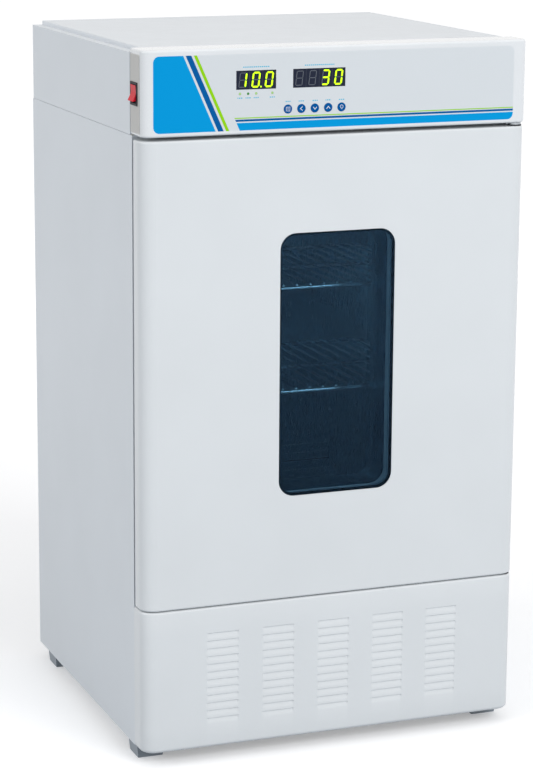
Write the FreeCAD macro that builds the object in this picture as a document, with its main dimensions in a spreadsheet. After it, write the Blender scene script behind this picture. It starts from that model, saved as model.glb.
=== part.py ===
"""Benchtop incubator as separate pieces, in millimetres.

X runs along the front from left to right, Y from the front to the back and Z up.
The origin is on the floor, in the middle of the cabinet's footprint.
"""
import FreeCAD, Part
import os
from types import SimpleNamespace

import Sketcher
from FreeCAD import Placement, Rotation, Vector

SIZES = {
    # Cabinet
    "CabinetWidth": 500.0,
    "CabinetDepth": 460.0,
    "OverallHeight": 880.0,
    "SheetWall": 1.2,
    "BaseLift": 18.5,
    "FrontRadius": 18.0,
    "RimRadius": 2.5,
    "SideFlange": 20.0,
    "CaseSeam": 0.5,
    # Faces of the front, from the header down
    "DoorLift": 199.6,
    "HeaderHeight": 102.0,
    "HeaderGap": 4.4,
    "PlinthGap": 1.6,
    "PlinthLift": 17.0,
    "DoorThickness": 31.0,
    "GasketGap": 5.0,
    "FrameThickness": 6.0,
    # Chamber
    "SideInsulation": 50.0,
    "TopInsulation": 65.5,
    "ChamberFloor": 222.0,
    "RearInsulation": 43.8,
    "ChamberRadius": 15.0,
    "LinerWall": 1.0,
    "DuctDepth": 41.0,
    "DuctSheet": 1.2,
    "GrilleRadius": 38.0,
    "GrilleHub": 14.0,
    "GrilleSlot": 5.0,
    "DuctSlotWidth": 70.0,
    "DuctSlotHeight": 5.0,
    "DuctSlotPitch": 12.0,
    "DuctSlotInset": 24.0,
    "DuctSlotX": 110.0,
    "DeckHeight": 170.0,
    # Door
    "DoorSheet": 1.0,
    "WindowWidth": 150.2,
    "WindowHead": 117.0,
    "WindowSill": 130.6,
    "WindowRadius": 20.0,
    "GlassThickness": 4.0,
    "GlassInset": 0.4,
    "GlassFit": 0.3,
    "SealDepth": 5.0,
    "SpacerWall": 8.0,
    "PlugDepth": 43.0,
    "PlugClearance": 8.0,
    "PlugWall": 1.5,
    "PlugRadius": 12.0,
    "GasketInset": 3.0,
    "GasketWidth": 18.0,
    "GasketClearance": 0.3,
    # Hinge
    "HingeInset": 12.0,
    "HingeSetback": 18.0,
    "PinRadius": 4.0,
    "PinClearance": 0.05,
    "PinLength": 26.0,
    "BushWall": 3.0,
    "BushLength": 30.0,
    "BushFlange": 2.0,
    "BushGapUpper": 0.2,
    "BushGapLower": 0.4,
    "BoreFit": 0.1,
    "LinerFit": 0.2,
    "BracketThickness": 2.5,
    "BracketHalfWidth": 10.5,
    "BracketSideGap": 1.3,
    "BracketEar": 8.0,
    "BracketReach": 95.0,
    "LeafThickness": 3.0,
    # Shelves
    "ShelfDrop": 140.0,
    "ShelfPitch": 132.0,
    "ShelfFront": 90.0,
    "ShelfRearGap": 11.0,
    "ShelfEnd": 12.0,
    "ShelfCorner": 14.0,
    "ShelfRod": 2.5,
    "ShelfWire": 1.5,
    "WirePitch": 18.0,
    "RackStrip": 3.0,
    "RailWidth": 14.0,
    "RailClearance": 0.3,
    # Kick panel
    "PlinthDepth": 36.0,
    "PlinthLowerRadius": 5.0,
    "LouvreWidth": 42.0,
    "LouvrePitch": 10.0,
    "LouvreHeight": 8.2,
    "LouvreLift": 2.4,
    "LouvreColumnPitch": 73.6,
    "LouvreTop": 148.5,
    "LouvreWall": 1.0,
    # Header
    "HeaderInset": 1.0,
    "HeaderDepth": 43.0,
    "HeaderRadius": 12.0,
    "HeaderRim": 3.0,
    "HeaderWall": 2.0,
    "OverlayLeft": 13.5,
    "OverlayRight": 19.5,
    "OverlayHeight": 90.0,
    "OverlayRadius": 7.5,
    "OverlayThickness": 0.4,
    "OverlayLift": 4.8,
    "DisplayHeight": 22.4,
    "DigitPitch": 16.8,
    "DisplayLift": 52.9,
    "DisplayOneX": -107.4,
    "DisplayTwoX": -27.2,
    "DisplaySetback": 0.8,
    "DisplayDepth": 9.0,
    "LampLift": 48.0,
    "LampRadius": 1.5,
    "LampPitch": 10.2,
    "KeyRadius": 5.25,
    "KeyClearance": 0.2,
    "KeyPitch": 17.2,
    "KeyFirstX": -67.1,
    "KeyLift": 28.1,
    "KeyProud": 0.6,
    "KeyLength": 5.0,
    "KeyTravel": 0.4,
    "BoardThickness": 1.6,
    # Switch on the header's left side
    "SwitchPlateWidth": 32.0,
    "SwitchPlateHeight": 92.0,
    "SwitchPlateThickness": 0.6,
    "SwitchPlateSetback": 10.0,
    "SwitchSetback": 27.5,
    "SwitchLift": 50.0,
    "BezelWidth": 24.8,
    "BezelHeight": 27.4,
    "BezelThickness": 1.8,
    "RockerWidth": 18.6,
    "RockerHeight": 21.0,
    "RockerTilt": 10.0,
    "PivotRadius": 1.6,
    "PivotClearance": 0.1,
    "PivotDepth": 1.6,
    # Control case and cover
    "CaseDrop": 5.0,
    "CaseFlange": 26.0,
    "CoverInset": 14.0,
    "LidRim": 1.5,
    # Feet
    "FootSize": 36.0,
    "FootTaper": 2.0,
    "FootSideInset": 3.0,
    "FootFrontSetback": 36.0,
    "FootRearSetback": 29.0,
    "FootBore": 5.0,
    # Machine compartment
    "CompressorRadius": 62.0,
    "CompressorHeight": 118.0,
    "CompressorX": 110.0,
    "CompressorSetback": 290.0,
    "MountHeight": 12.0,
    "MountRadius": 9.0,
    "CondenserWidth": 330.0,
    "CondenserHeight": 116.0,
    "CondenserSetback": 62.0,
    "CondenserDepth": 30.0,
    "CoilRadius": 4.0,
    "FinThickness": 1.0,
    "FanFrame": 120.0,
    "FanFrameDepth": 25.0,
    "FanRadius": 54.0,
    "FanRing": 57.0,
    "HubRadius": 19.0,
    "ShaftRadius": 3.0,
    "FanSetback": 104.0,
    # Circulation fan behind the duct panel
    "CirculationRadius": 46.0,
    "CirculationDrop": 192.0,
    "CirculationHub": 12.0,
    "CirculationDepth": 11.0,
    "FanClearance": 6.0,
    "MotorRadius": 28.0,
    "MotorSetback": 20.0,
    "MotorArm": 60.0,
    "HeaterHalf": 150.0,
    "HeaterLift": 40.0,
    "HeaterPitch": 22.0,
    "HeaterRod": 3.2,
    "HeaterSetback": 16.0,
    "EvaporatorHalf": 160.0,
    "EvaporatorDrop": 22.0,
    "EvaporatorLift": 24.0,
    "EvaporatorGap": 8.0,
    "ProbeLength": 34.0,
    "ProbeRadius": 2.5,
    "ProbeX": 30.0,
    "ProbeDrop": 82.0,
    "LampInset": 50.0,
    "LampSetback": 60.0,
    "LampBase": 15.0,
    "LampDome": 11.0,
    "LampDrop": 24.0,
    # Rear
    "RearInset": 3.0,
    "ScrewRadius": 3.5,
    "ScrewHead": 1.6,
    "ScrewInset": 12.0,
    "ScrewEnd": 18.0,
    "RearSlotWidth": 55.0,
    "RearSlotHeight": 5.0,
    "RearSlotPitch": 12.0,
    "RearSlotLift": 48.0,
    "RearColumnPitch": 75.0,
    "InletX": -184.0,
    "InletLift": 85.5,
}

LOUVRE_ROWS = 12
LOUVRE_COLUMNS = 5
KEYS = 5
LAMP_PLACES = (-2, -1, 0, 2)
FAN_BLADES = 7
CIRCULATION_BLADES = 5
GRILLE_SLOTS = 12
DUCT_SLOTS = 5
REAR_SLOTS = 7
FINS = 14
WIRES = 9

doc = FreeCAD.newDocument("incubator")
sheet = doc.addObject("Spreadsheet::Sheet", "Sizes")
for row, (alias, number) in enumerate(SIZES.items(), 1):
    sheet.set(f"A{row}", alias)
    sheet.set(f"B{row}", str(number))
    sheet.setAlias(f"B{row}", alias)
doc.recompute()


class Size:
    """A length as a formula of the sheet's cells, with its present value."""

    def __init__(self, text, value):
        self.text = text
        self.value = value

    def __add__(self, other):
        other = as_size(other)
        return Size(f"({self.text} + {other.text})", self.value + other.value)

    def __radd__(self, other):
        return as_size(other) + self

    def __sub__(self, other):
        other = as_size(other)
        return Size(f"({self.text} - {other.text})", self.value - other.value)

    def __rsub__(self, other):
        return as_size(other) - self

    def __mul__(self, other):
        other = as_size(other)
        return Size(f"({self.text} * {other.text})", self.value * other.value)

    def __rmul__(self, other):
        return as_size(other) * self

    def __truediv__(self, other):
        other = as_size(other)
        return Size(f"({self.text} / {other.text})", self.value / other.value)

    def __neg__(self):
        return Size(f"(0 - {self.text})", -self.value)


def as_size(thing):
    """Turns a plain number into a Size."""
    if isinstance(thing, Size):
        return thing
    return Size(f"({thing:.9g})", float(thing))


S = SimpleNamespace(**{alias: Size(f"Sizes.{alias}", number) for alias, number in SIZES.items()})

# Planes and levels that several pieces share
half_width = S.CabinetWidth / 2
front = -S.CabinetDepth / 2
rear = S.CabinetDepth / 2
inner_half = half_width - S.SheetWall
header_bottom = S.OverallHeight - S.HeaderHeight
door_top = header_bottom - S.HeaderGap
door_bottom = S.DoorLift
plinth_top = door_bottom - S.PlinthGap
door_back = front + S.DoorThickness
frame_front = door_back + S.GasketGap
frame_back = frame_front + S.FrameThickness
cabinet_top = header_bottom - S.CaseSeam
tray_top = S.BaseLift + S.SheetWall
deck_top = S.DeckHeight + S.SheetWall
rear_panel_back = rear - S.RearInset
rear_panel_front = rear_panel_back - S.SheetWall
chamber_half = half_width - S.SideInsulation
chamber_top = cabinet_top - S.TopInsulation
chamber_back = rear_panel_front - S.RearInsulation
chamber_depth = chamber_back - frame_back
duct_front = chamber_back - S.DuctDepth
duct_back = duct_front + S.DuctSheet
window_bottom = door_bottom + S.WindowSill
window_top = door_top - S.WindowHead
window_half = S.WindowWidth / 2
header_back = front + S.HeaderDepth
hinge_x = half_width - S.HingeInset
hinge_y = door_back - S.HingeSetback
case_top = S.OverallHeight - S.CaseDrop
shelf_levels = (chamber_top - S.ShelfDrop, chamber_top - S.ShelfDrop - S.ShelfPitch)
shelf_front = front + S.ShelfFront
shelf_back = duct_front - S.ShelfRearGap
shelf_depth = shelf_back - shelf_front
shelf_half = chamber_half - S.ShelfEnd
circulation_height = chamber_top - S.CirculationDrop

TURN = {
    "x": Rotation(Vector(0, 1, 0), 90),
    "y": Rotation(Vector(1, 0, 0), -90),
    "z": Rotation(),
}
nodes = []


def bind(item, path, size):
    """Ties one property of an object to the sheet."""
    item.setExpression(path, as_size(size).text)


def place(item, corner):
    """Ties an object's position to the sheet."""
    for axis, size in zip("xyz", corner):
        bind(item, f"Placement.Base.{axis}", size)


def node(name, item):
    """Registers a finished piece under its own name."""
    item.Label = name
    nodes.append(item)
    return item


def box(name, across, along, up):
    """A block between two planes on each axis."""
    item = doc.addObject("Part::Box", name)
    place(item, (across[0], along[0], up[0]))
    bind(item, "Length", across[1] - across[0])
    bind(item, "Width", along[1] - along[0])
    bind(item, "Height", up[1] - up[0])
    return item


def rod(name, axis, start, radius, length):
    """A round bar from a start point along one axis."""
    item = doc.addObject("Part::Cylinder", name)
    item.Placement = Placement(Vector(), TURN[axis])
    place(item, start)
    bind(item, "Radius", radius)
    bind(item, "Height", length)
    return item


def bend(name, centre, major, minor, turn, sweep):
    """A part of a ring of round bar, turned about its centre."""
    item = doc.addObject("Part::Torus", name)
    item.Placement = Placement(Vector(), turn)
    place(item, centre)
    bind(item, "Radius1", major)
    bind(item, "Radius2", minor)
    item.Angle3 = sweep
    return item


def fuse(name, *items):
    """One solid of several that meet or overlap."""
    item = doc.addObject("Part::MultiFuse", name)
    item.Shapes = list(items)
    item.Refine = True
    return item


def group(name, *items):
    """Separate solids kept together."""
    item = doc.addObject("Part::Compound", name)
    item.Links = list(items)
    return item


def cut(name, base, *tools):
    """A solid with one or more others, apart from each other, taken out."""
    item = doc.addObject("Part::Cut", name)
    item.Base = base
    item.Tool = tools[0] if len(tools) == 1 else group(name + "_tools", *tools)
    return item


class Body:
    """A piece grown feature by feature from sketches."""

    FORWARD = {"XY": True, "YZ": True, "XZ": False}

    def __init__(self, name):
        self.body = doc.addObject("PartDesign::Body", f"{name}_body")
        self.name = name

    def sketch(self, plane, level):
        """An empty sketch on a plane at the given distance along its axis."""
        item = self.body.newObject("Sketcher::SketchObject", f"{self.name}_sketch")
        datum = [f for f in self.body.Origin.OriginFeatures if f.Role == f"{plane}_Plane"][0]
        item.AttachmentSupport = [(datum, "")]
        item.MapMode = "FlatFace"
        bind(item, "AttachmentOffset.Base.z", level if self.FORWARD[plane] else -as_size(level))
        item.Label2 = plane
        return item

    def feature(self, kind, **links):
        """A new feature at the end of the body."""
        item = self.body.newObject(f"PartDesign::{kind}", f"{self.name}_{kind}")
        for key, thing in links.items():
            setattr(item, key, thing)
        return item

    def grow(self, sketch, length, towards=1):
        """A pad towards plus or minus the sketch plane's axis."""
        item = self.feature("Pad", Profile=sketch)
        bind(item, "Length", length)
        item.Reversed = self.FORWARD[sketch.Label2] != (towards > 0)
        doc.recompute()
        return item

    def carve(self, sketch, length, towards=1):
        """A pocket towards plus or minus the sketch plane's axis."""
        item = self.feature("Pocket", Profile=sketch)
        bind(item, "Length", length)
        item.Reversed = self.FORWARD[sketch.Label2] == (towards > 0)
        doc.recompute()
        return item

    def soften(self, test, radius):
        """A fillet along the edges that pass the test."""
        tip = self.body.Tip
        names = [f"Edge{i}" for i, edge in enumerate(tip.Shape.Edges, 1) if test(edge)]
        item = self.feature("Fillet", Base=(tip, names))
        bind(item, "Radius", radius)
        doc.recompute()
        return item

    def shell(self, test, wall):
        """A hollow with an even wall, open at the faces that pass the test."""
        tip = self.body.Tip
        names = [f"Face{i}" for i, face in enumerate(tip.Shape.Faces, 1) if test(face)]
        item = self.feature("Thickness", Base=(tip, names))
        bind(item, "Value", wall)
        item.Reversed = True
        item.Join = 1
        doc.recompute()
        return item

    def repeat(self, feature, axis, count):
        """Copies of a feature round one of the body's axes."""
        item = self.feature("PolarPattern", Originals=[feature])
        datum = [f for f in self.body.Origin.OriginFeatures if f.Role == f"{axis}_Axis"][0]
        item.Axis = (datum, [""])
        item.Angle = 360
        item.Occurrences = count
        self.body.Tip = item
        doc.recompute()
        return item


def fix_point(sketch, item, point, across, up):
    """Ties a sketch point to its distances from the sketch's origin."""
    for kind, size in (("DistanceX", across), ("DistanceY", up)):
        size = as_size(size)
        index = sketch.addConstraint(Sketcher.Constraint(kind, -1, 1, item, point, size.value))
        sketch.setExpression(f"Constraints[{index}]", size.text)


def polygon(sketch, points):
    """A closed outline of straight lines."""
    base = len(sketch.Geometry)
    spots = [Vector(as_size(a).value, as_size(b).value, 0) for a, b in points]
    for i, spot in enumerate(spots):
        sketch.addGeometry(Part.LineSegment(spot, spots[(i + 1) % len(spots)]), False)
    for i, (across, up) in enumerate(points):
        following = base + (i + 1) % len(points)
        sketch.addConstraint(Sketcher.Constraint("Coincident", base + i, 2, following, 1))
        fix_point(sketch, base + i, 1, across, up)
    return sketch


def rectangle(sketch, across, up):
    """A closed rectangle between two values on each axis."""
    return polygon(sketch, [(a, b) for a, b in zip(
        (across[0], across[1], across[1], across[0]), (up[0], up[0], up[1], up[1]))])


def rounded(sketch, across, up, radius):
    """A closed rectangle with four equal round corners."""
    x0, x1 = (as_size(side).value for side in across)
    y0, y1 = (as_size(side).value for side in up)
    arc = as_size(radius).value
    base = len(sketch.Geometry)
    lines = [((x0 + arc, y0), (x1 - arc, y0)), ((x1, y0 + arc), (x1, y1 - arc)),
             ((x1 - arc, y1), (x0 + arc, y1)), ((x0, y1 - arc), (x0, y0 + arc))]
    for start, end in lines:
        sketch.addGeometry(Part.LineSegment(Vector(*start, 0), Vector(*end, 0)), False)
    quarter = 1.5707963267948966
    centres = [(x1 - arc, y0 + arc), (x1 - arc, y1 - arc), (x0 + arc, y1 - arc), (x0 + arc, y0 + arc)]
    for i, centre in enumerate(centres):
        ring = Part.Circle(Vector(*centre, 0), Vector(0, 0, 1), arc)
        sketch.addGeometry(Part.ArcOfCircle(ring, (i - 1) * quarter, i * quarter), False)
    for i in range(4):
        sketch.addConstraint(Sketcher.Constraint("Tangent", base + i, 2, base + 4 + i, 1))
        sketch.addConstraint(Sketcher.Constraint("Tangent", base + 4 + i, 2, base + (i + 1) % 4, 1))
        sketch.addConstraint(Sketcher.Constraint("Vertical" if i % 2 else "Horizontal", base + i))
    index = sketch.addConstraint(Sketcher.Constraint("Radius", base + 4, arc))
    sketch.setExpression(f"Constraints[{index}]", as_size(radius).text)
    for i in (5, 6, 7):
        sketch.addConstraint(Sketcher.Constraint("Equal", base + 4, base + i))
    for item, kind, size in ((3, "DistanceX", across[0]), (1, "DistanceX", across[1]),
                             (0, "DistanceY", up[0]), (2, "DistanceY", up[1])):
        size = as_size(size)
        spot = Sketcher.Constraint(kind, -1, 1, base + item, 1, size.value)
        index = sketch.addConstraint(spot)
        sketch.setExpression(f"Constraints[{index}]", size.text)
    return sketch


def circle(sketch, across, up, radius):
    """A circle about a point tied to the sketch's origin."""
    spot = Vector(as_size(across).value, as_size(up).value, 0)
    size = as_size(radius)
    item = sketch.addGeometry(Part.Circle(spot, Vector(0, 0, 1), size.value), False)
    index = sketch.addConstraint(Sketcher.Constraint("Radius", item, size.value))
    sketch.setExpression(f"Constraints[{index}]", size.text)
    fix_point(sketch, item, 3, across, up)
    return sketch


def near(value, size):
    """True where a coordinate lies on a plane."""
    return abs(value - as_size(size).value) < 0.01


def runs(edge, axis):
    """True where an edge is straight along one axis."""
    if edge.Curve.TypeId != "Part::GeomLine":
        return False
    return abs(abs(getattr(edge.Curve.Direction, axis)) - 1) < 1e-6


def front_corner(edge):
    """True for the upright edges of the front face."""
    return runs(edge, "z") and near(edge.BoundBox.YMin, front)


def rim(level, back):
    """A test for the edges round the front and sides at one level."""
    def passes(edge):
        limits = edge.BoundBox
        return near(limits.ZMin, level) and near(limits.ZMax, level) and not near(limits.YMin, back)
    return passes


def faces_back(level):
    """A test for the flat face that closes a form at the back."""
    def passes(face):
        return near(face.BoundBox.YMin, level) and near(face.BoundBox.YMax, level)
    return passes


def front_cap(name, half, depth, bottom, top, corner, lower_rim, upper_rim, wall):
    """A hollow front panel with round upright corners, open at the back."""
    piece = Body(name)
    back = front + depth
    plan = rectangle(piece.sketch("XY", bottom), (-half, half), (front, back))
    piece.grow(plan, top - bottom)
    piece.soften(front_corner, corner)
    piece.soften(rim(bottom, back), lower_rim)
    piece.soften(rim(top, back), upper_rim)
    piece.shell(faces_back(back), wall)
    return piece


def cabinet_panels():
    """Side panels, rear panel, base tray and the deck over the machine space."""
    for name, side in (("left", -1), ("right", 1)):
        piece = Body(f"side_panel_{name}")
        outer = half_width * side
        inner = inner_half * side
        lip = (half_width - S.SideFlange) * side
        skin = frame_front + S.SheetWall
        outline = [(outer, rear), (outer, frame_front), (lip, frame_front), (lip, skin),
                   (inner, skin), (inner, rear)]
        piece.grow(polygon(piece.sketch("XY", S.BaseLift), outline), cabinet_top - S.BaseLift)
        if name == "right":
            node("side_panel_right", cut("side_cut", piece.body, hinge_recess("side_recess")))
        else:
            node("side_panel_left", piece.body)

    tray = box("tray_sheet", (-inner_half, inner_half), (frame_back, rear_panel_front),
               (S.BaseLift, tray_top))
    node("base_tray", tray)
    deck = box("deck_sheet", (-inner_half, inner_half), (frame_back, rear_panel_front),
               (S.DeckHeight, deck_top))
    node("machine_deck", deck)

    panel = Body("rear_panel")
    panel.grow(rectangle(panel.sketch("XZ", rear_panel_front), (-inner_half, inner_half),
                         (S.BaseLift, cabinet_top)), S.SheetWall)
    through = (rear_panel_front - 1, rear_panel_back + 1)
    holes = [box("inlet_gap", (S.InletX - 14, S.InletX + 14), through,
                 (S.InletLift - 10.5, S.InletLift + 10.5))]
    for column in (-1, 0, 1):
        left = S.RearColumnPitch * column + 5
        for level in range(REAR_SLOTS):
            low = S.RearSlotLift + S.RearSlotPitch * level
            holes.append(box("rear_slot", (left, left + S.RearSlotWidth), through,
                             (low, low + S.RearSlotHeight)))
    node("rear_panel", cut("rear_cut", panel.body, *holes))

    heads = []
    low = S.BaseLift + S.ScrewEnd
    high = cabinet_top - S.ScrewEnd
    for side in (-1, 1):
        for share in (0, 0.3, 0.65, 1):
            start = (side * (inner_half - S.ScrewInset), rear_panel_back, low + (high - low) * share)
            heads.append(rod("screw_head", "y", start, S.ScrewRadius, S.ScrewHead))
    node("rear_screws", group("screws", *heads))


def chamber():
    """Front frame, insulation, liner, duct panel and what they carry."""
    mouth = ((-chamber_half, chamber_half), (S.ChamberFloor, chamber_top))
    shell = S.LinerWall
    hull = ((-chamber_half - shell, chamber_half + shell),
            (S.ChamberFloor - shell, chamber_top + shell))

    frame = Body("front_frame")
    face_back = frame_front + S.SheetWall
    frame.grow(rectangle(frame.sketch("XZ", face_back), (-inner_half, inner_half),
                         (S.DeckHeight, cabinet_top)), frame_back - face_back)
    frame.grow(rectangle(frame.sketch("XZ", frame_front),
                         (S.SideFlange - half_width, half_width - S.SideFlange),
                         (S.DeckHeight, cabinet_top)), S.SheetWall)
    frame.carve(rounded(frame.sketch("XZ", frame_front), *mouth, S.ChamberRadius),
                S.FrameThickness * 2)
    recess = hinge_recess("frame_recess")
    node("front_frame", cut("frame_cut", frame.body, recess))

    foam = Body("insulation")
    foam.grow(rectangle(foam.sketch("XZ", frame_back), (-inner_half, inner_half),
                        (deck_top, cabinet_top)), rear_panel_front - frame_back)
    foam.carve(rounded(foam.sketch("XZ", frame_back), *hull, S.ChamberRadius + shell),
               chamber_depth + shell)
    node("insulation", cut("foam_cut", foam.body, hinge_recess("foam_recess")))

    liner = Body("chamber_liner")
    liner.grow(rounded(liner.sketch("XZ", frame_back), *hull, S.ChamberRadius + shell),
               chamber_depth + shell)
    liner.carve(rounded(liner.sketch("XZ", frame_back), *mouth, S.ChamberRadius), chamber_depth)
    node("chamber_liner", liner.body)

    duct = Body("duct_panel")
    duct.grow(rounded(duct.sketch("XZ", duct_front), *mouth, S.ChamberRadius), S.SheetWall)
    through = (duct_front - 1, duct_back + 1)
    slots = []
    half = S.DuctSlotWidth / 2
    upper = chamber_top - S.DuctSlotInset - S.DuctSlotPitch * (DUCT_SLOTS - 1)
    for middle in (-S.DuctSlotX, S.DuctSlotX):
        for base in (S.ChamberFloor + S.DuctSlotInset, upper):
            for level in range(DUCT_SLOTS):
                low = base + S.DuctSlotPitch * level
                slots.append(box("duct_slot", (middle - half, middle + half), through,
                                 (low, low + S.DuctSlotHeight)))
    for i in range(GRILLE_SLOTS):
        slots.append(grille_slot(360 * i / GRILLE_SLOTS))
    node("duct_panel", cut("duct_cut", duct.body, *slots))

    motor_front = duct_front + S.MotorSetback
    low = circulation_height - 9
    motor = fuse("motor",
                 rod("motor_can", "y", (0, motor_front, circulation_height), S.MotorRadius,
                     chamber_back - motor_front),
                 rod("motor_shaft", "y", (0, duct_front + 5, circulation_height),
                     S.ShaftRadius, motor_front - duct_front),
                 box("motor_arm", (-S.MotorArm, S.MotorArm), (chamber_back - 3, chamber_back),
                     (low, low + 18)))
    node("circulation_fan_motor", motor)
    fan_blade("circulation_fan", S.CirculationRadius, S.CirculationHub,
              duct_front + S.FanClearance, S.CirculationDepth, 0.0, circulation_height,
              CIRCULATION_BLADES)

    coil("heater_coil", (-S.HeaterHalf, S.HeaterHalf), chamber_back - S.HeaterSetback,
         S.ChamberFloor + S.HeaterLift, S.HeaterPitch, 3, S.HeaterRod)
    fin_top = chamber_top - S.EvaporatorDrop
    fin_block("evaporator_coil", (-S.EvaporatorHalf, S.EvaporatorHalf),
              (duct_back + S.EvaporatorGap, chamber_back),
              (circulation_height + S.CirculationRadius + S.EvaporatorLift, fin_top), 3)

    probe = rod("probe", "y", (-S.ProbeX, duct_front - S.ProbeLength, chamber_top - S.ProbeDrop),
                S.ProbeRadius, S.ProbeLength)
    node("temperature_probe", probe)
    lamp_x = chamber_half - S.LampInset
    lamp_y = duct_front - S.LampSetback
    lamp = fuse("lamp", rod("lamp_base", "z", (lamp_x, lamp_y, chamber_top - 6), S.LampBase, 6),
                rod("lamp_dome", "z", (lamp_x, lamp_y, chamber_top - S.LampDrop), S.LampDome,
                    S.LampDrop - 5))
    node("chamber_lamp", lamp)

    for name, side in (("left", -1), ("right", 1)):
        wall = chamber_half * side
        strip = (chamber_half - S.RackStrip) * side
        rail = (chamber_half - S.RackStrip - S.SheetWall) * side
        tip = (chamber_half - S.RackStrip - S.RailWidth) * side
        parts = []
        for begin in (shelf_front + 28, shelf_back - 42):
            parts.append(box("rack_upright", ordered(wall, strip), (begin, begin + 14),
                             (S.ChamberFloor + 22, chamber_top - 22)))
        for level in shelf_levels:
            seat = level - S.ShelfRod - S.RailClearance
            reach = (shelf_front + 2, shelf_back - 2)
            parts.append(box("rack_web", ordered(strip, rail), reach, (seat - 1.2, seat + 12)))
            parts.append(box("rack_seat", ordered(strip, tip), reach, (seat - 1.2, seat)))
        node(f"shelf_rack_{name}", fuse(f"rack_{name}", *parts))


def shelves():
    """Two wire shelves, each a bent rod frame with wires from front to back."""
    bar = S.ShelfRod
    side = shelf_half - bar
    turn = S.ShelfCorner
    for name, level in zip(("upper", "lower"), shelf_levels):
        parts = []
        for y in (shelf_front, shelf_back):
            parts.append(rod("shelf_cross", "x", (turn - side, y, level), bar, 2 * (side - turn)))
        for x in (-side, side):
            parts.append(rod("shelf_side", "y", (x, shelf_front + turn, level), bar,
                             shelf_depth - 2 * turn))
        for x, y, angle in ((turn - side, shelf_front + turn, 180),
                            (side - turn, shelf_front + turn, 270),
                            (side - turn, shelf_back - turn, 0),
                            (turn - side, shelf_back - turn, 90)):
            parts.append(bend("shelf_corner", (x, y, level), turn, bar,
                              Rotation(Vector(0, 0, 1), angle), 90))
        parts.append(rod("shelf_brace", "x", (-side, (shelf_front + shelf_back) / 2, level), bar,
                         2 * side))
        lift = level + bar + S.ShelfWire - 0.6
        for i in range(-WIRES, WIRES + 1):
            parts.append(rod("shelf_wire", "y", (S.WirePitch * i, shelf_front - 1, lift),
                             S.ShelfWire, shelf_depth + 2))
        node(f"shelf_{name}", fuse(f"shelf_{name}_shape", *parts))


def grille_slot(angle):
    """One spoke-shaped slot of the fan grille, at an angle about the fan's axis."""
    item = box("grille_slot", (S.GrilleHub, S.GrilleRadius), (0, S.DuctSheet + 2),
               (-S.GrilleSlot / 2, S.GrilleSlot / 2))
    turn = Rotation(Vector(0, 1, 0), angle)
    item.Placement = Placement(Vector(), turn)
    arm = turn.multVec(Vector(1, 0, 0))
    across = turn.multVec(Vector(0, 0, 1))
    low = -S.GrilleSlot / 2
    place(item, (S.GrilleHub * arm.x + low * across.x, duct_front - 1,
                 circulation_height + S.GrilleHub * arm.z + low * across.z))
    return item


def ordered(first, second):
    """Two planes in rising order."""
    if as_size(first).value <= as_size(second).value:
        return (first, second)
    return (second, first)


def hinge_recess(name):
    """The space for the upper hinge bracket in the cabinet's top."""
    return box(name, (hinge_x - S.BracketHalfWidth - 0.3, inner_half),
               (frame_front - 1, front + S.BracketReach + 0.3),
               (cabinet_top - S.BracketThickness, cabinet_top + 1))


def coil(name, across, y, low, pitch, turns, radius):
    """A bar bent to and fro in a plane across the cabinet."""
    parts = []
    for level in range(turns + 1):
        height = low + level * pitch
        parts.append(rod(f"{name}_run", "x", (across[0], y, height), radius, across[1] - across[0]))
    for level in range(turns):
        side = across[1] if level % 2 == 0 else across[0]
        angle = 0 if level % 2 == 0 else 180
        turn = Rotation(Vector(1, 0, 0), 90).multiply(Rotation(Vector(0, 0, 1), angle - 90))
        parts.append(bend(f"{name}_bend", (side, y, low + (level + 0.5) * pitch),
                          pitch / 2, radius, turn, 180))
    for side in (0.25, 0.75):
        x = across[0] + (across[1] - across[0]) * side
        parts.append(box(f"{name}_bracket", (x - 6, x + 6), (y, chamber_back),
                         (low - 6, low + turns * pitch + 6)))
    return node(name, fuse(f"{name}_shape", *parts))


def fin_block(name, across, along, up, rows):
    """A finned tube block: fins across, tubes through them."""
    parts = []
    span = across[1] - across[0]
    for i in range(FINS):
        left = across[0] + span * i / (FINS - 1) - S.FinThickness / 2
        parts.append(box(f"{name}_fin", (left, left + S.FinThickness), along, up))
    middle = (along[0] + along[1]) / 2
    for i in range(rows):
        height = up[0] + (up[1] - up[0]) * (i + 0.5) / rows
        parts.append(rod(f"{name}_tube", "x", (across[0] - 8, middle, height),
                         S.CoilRadius, span + 16))
    return node(name, fuse(f"{name}_shape", *parts))


def fan_blade(name, radius, hub_radius, y, depth, x, z, count):
    """A bladed wheel on a shaft that runs from front to back."""
    wheel = Body(name)
    wheel.grow(circle(circle(wheel.sketch("XZ", 0), 0, 0, hub_radius),
                      0, 0, S.ShaftRadius + S.PinClearance), depth)
    root = wheel.sketch("YZ", as_size(hub_radius) - 1)
    polygon(root, [(1, -6.5), (2.5, -7.5), (as_size(depth) - 1, 6.5), (as_size(depth) - 2.5, 7.5)])
    tip = wheel.sketch("YZ", radius)
    polygon(tip, [(3, -14.5), (4.2, -15.5), (as_size(depth) - 3, 14.5), (as_size(depth) - 4.2, 15.5)])
    blade = wheel.feature("AdditiveLoft", Profile=root, Sections=[tip], Ruled=True)
    doc.recompute()
    wheel.repeat(blade, "Y", count)
    place(wheel.body, (x, y, z))
    return node(name, wheel.body)


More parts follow.
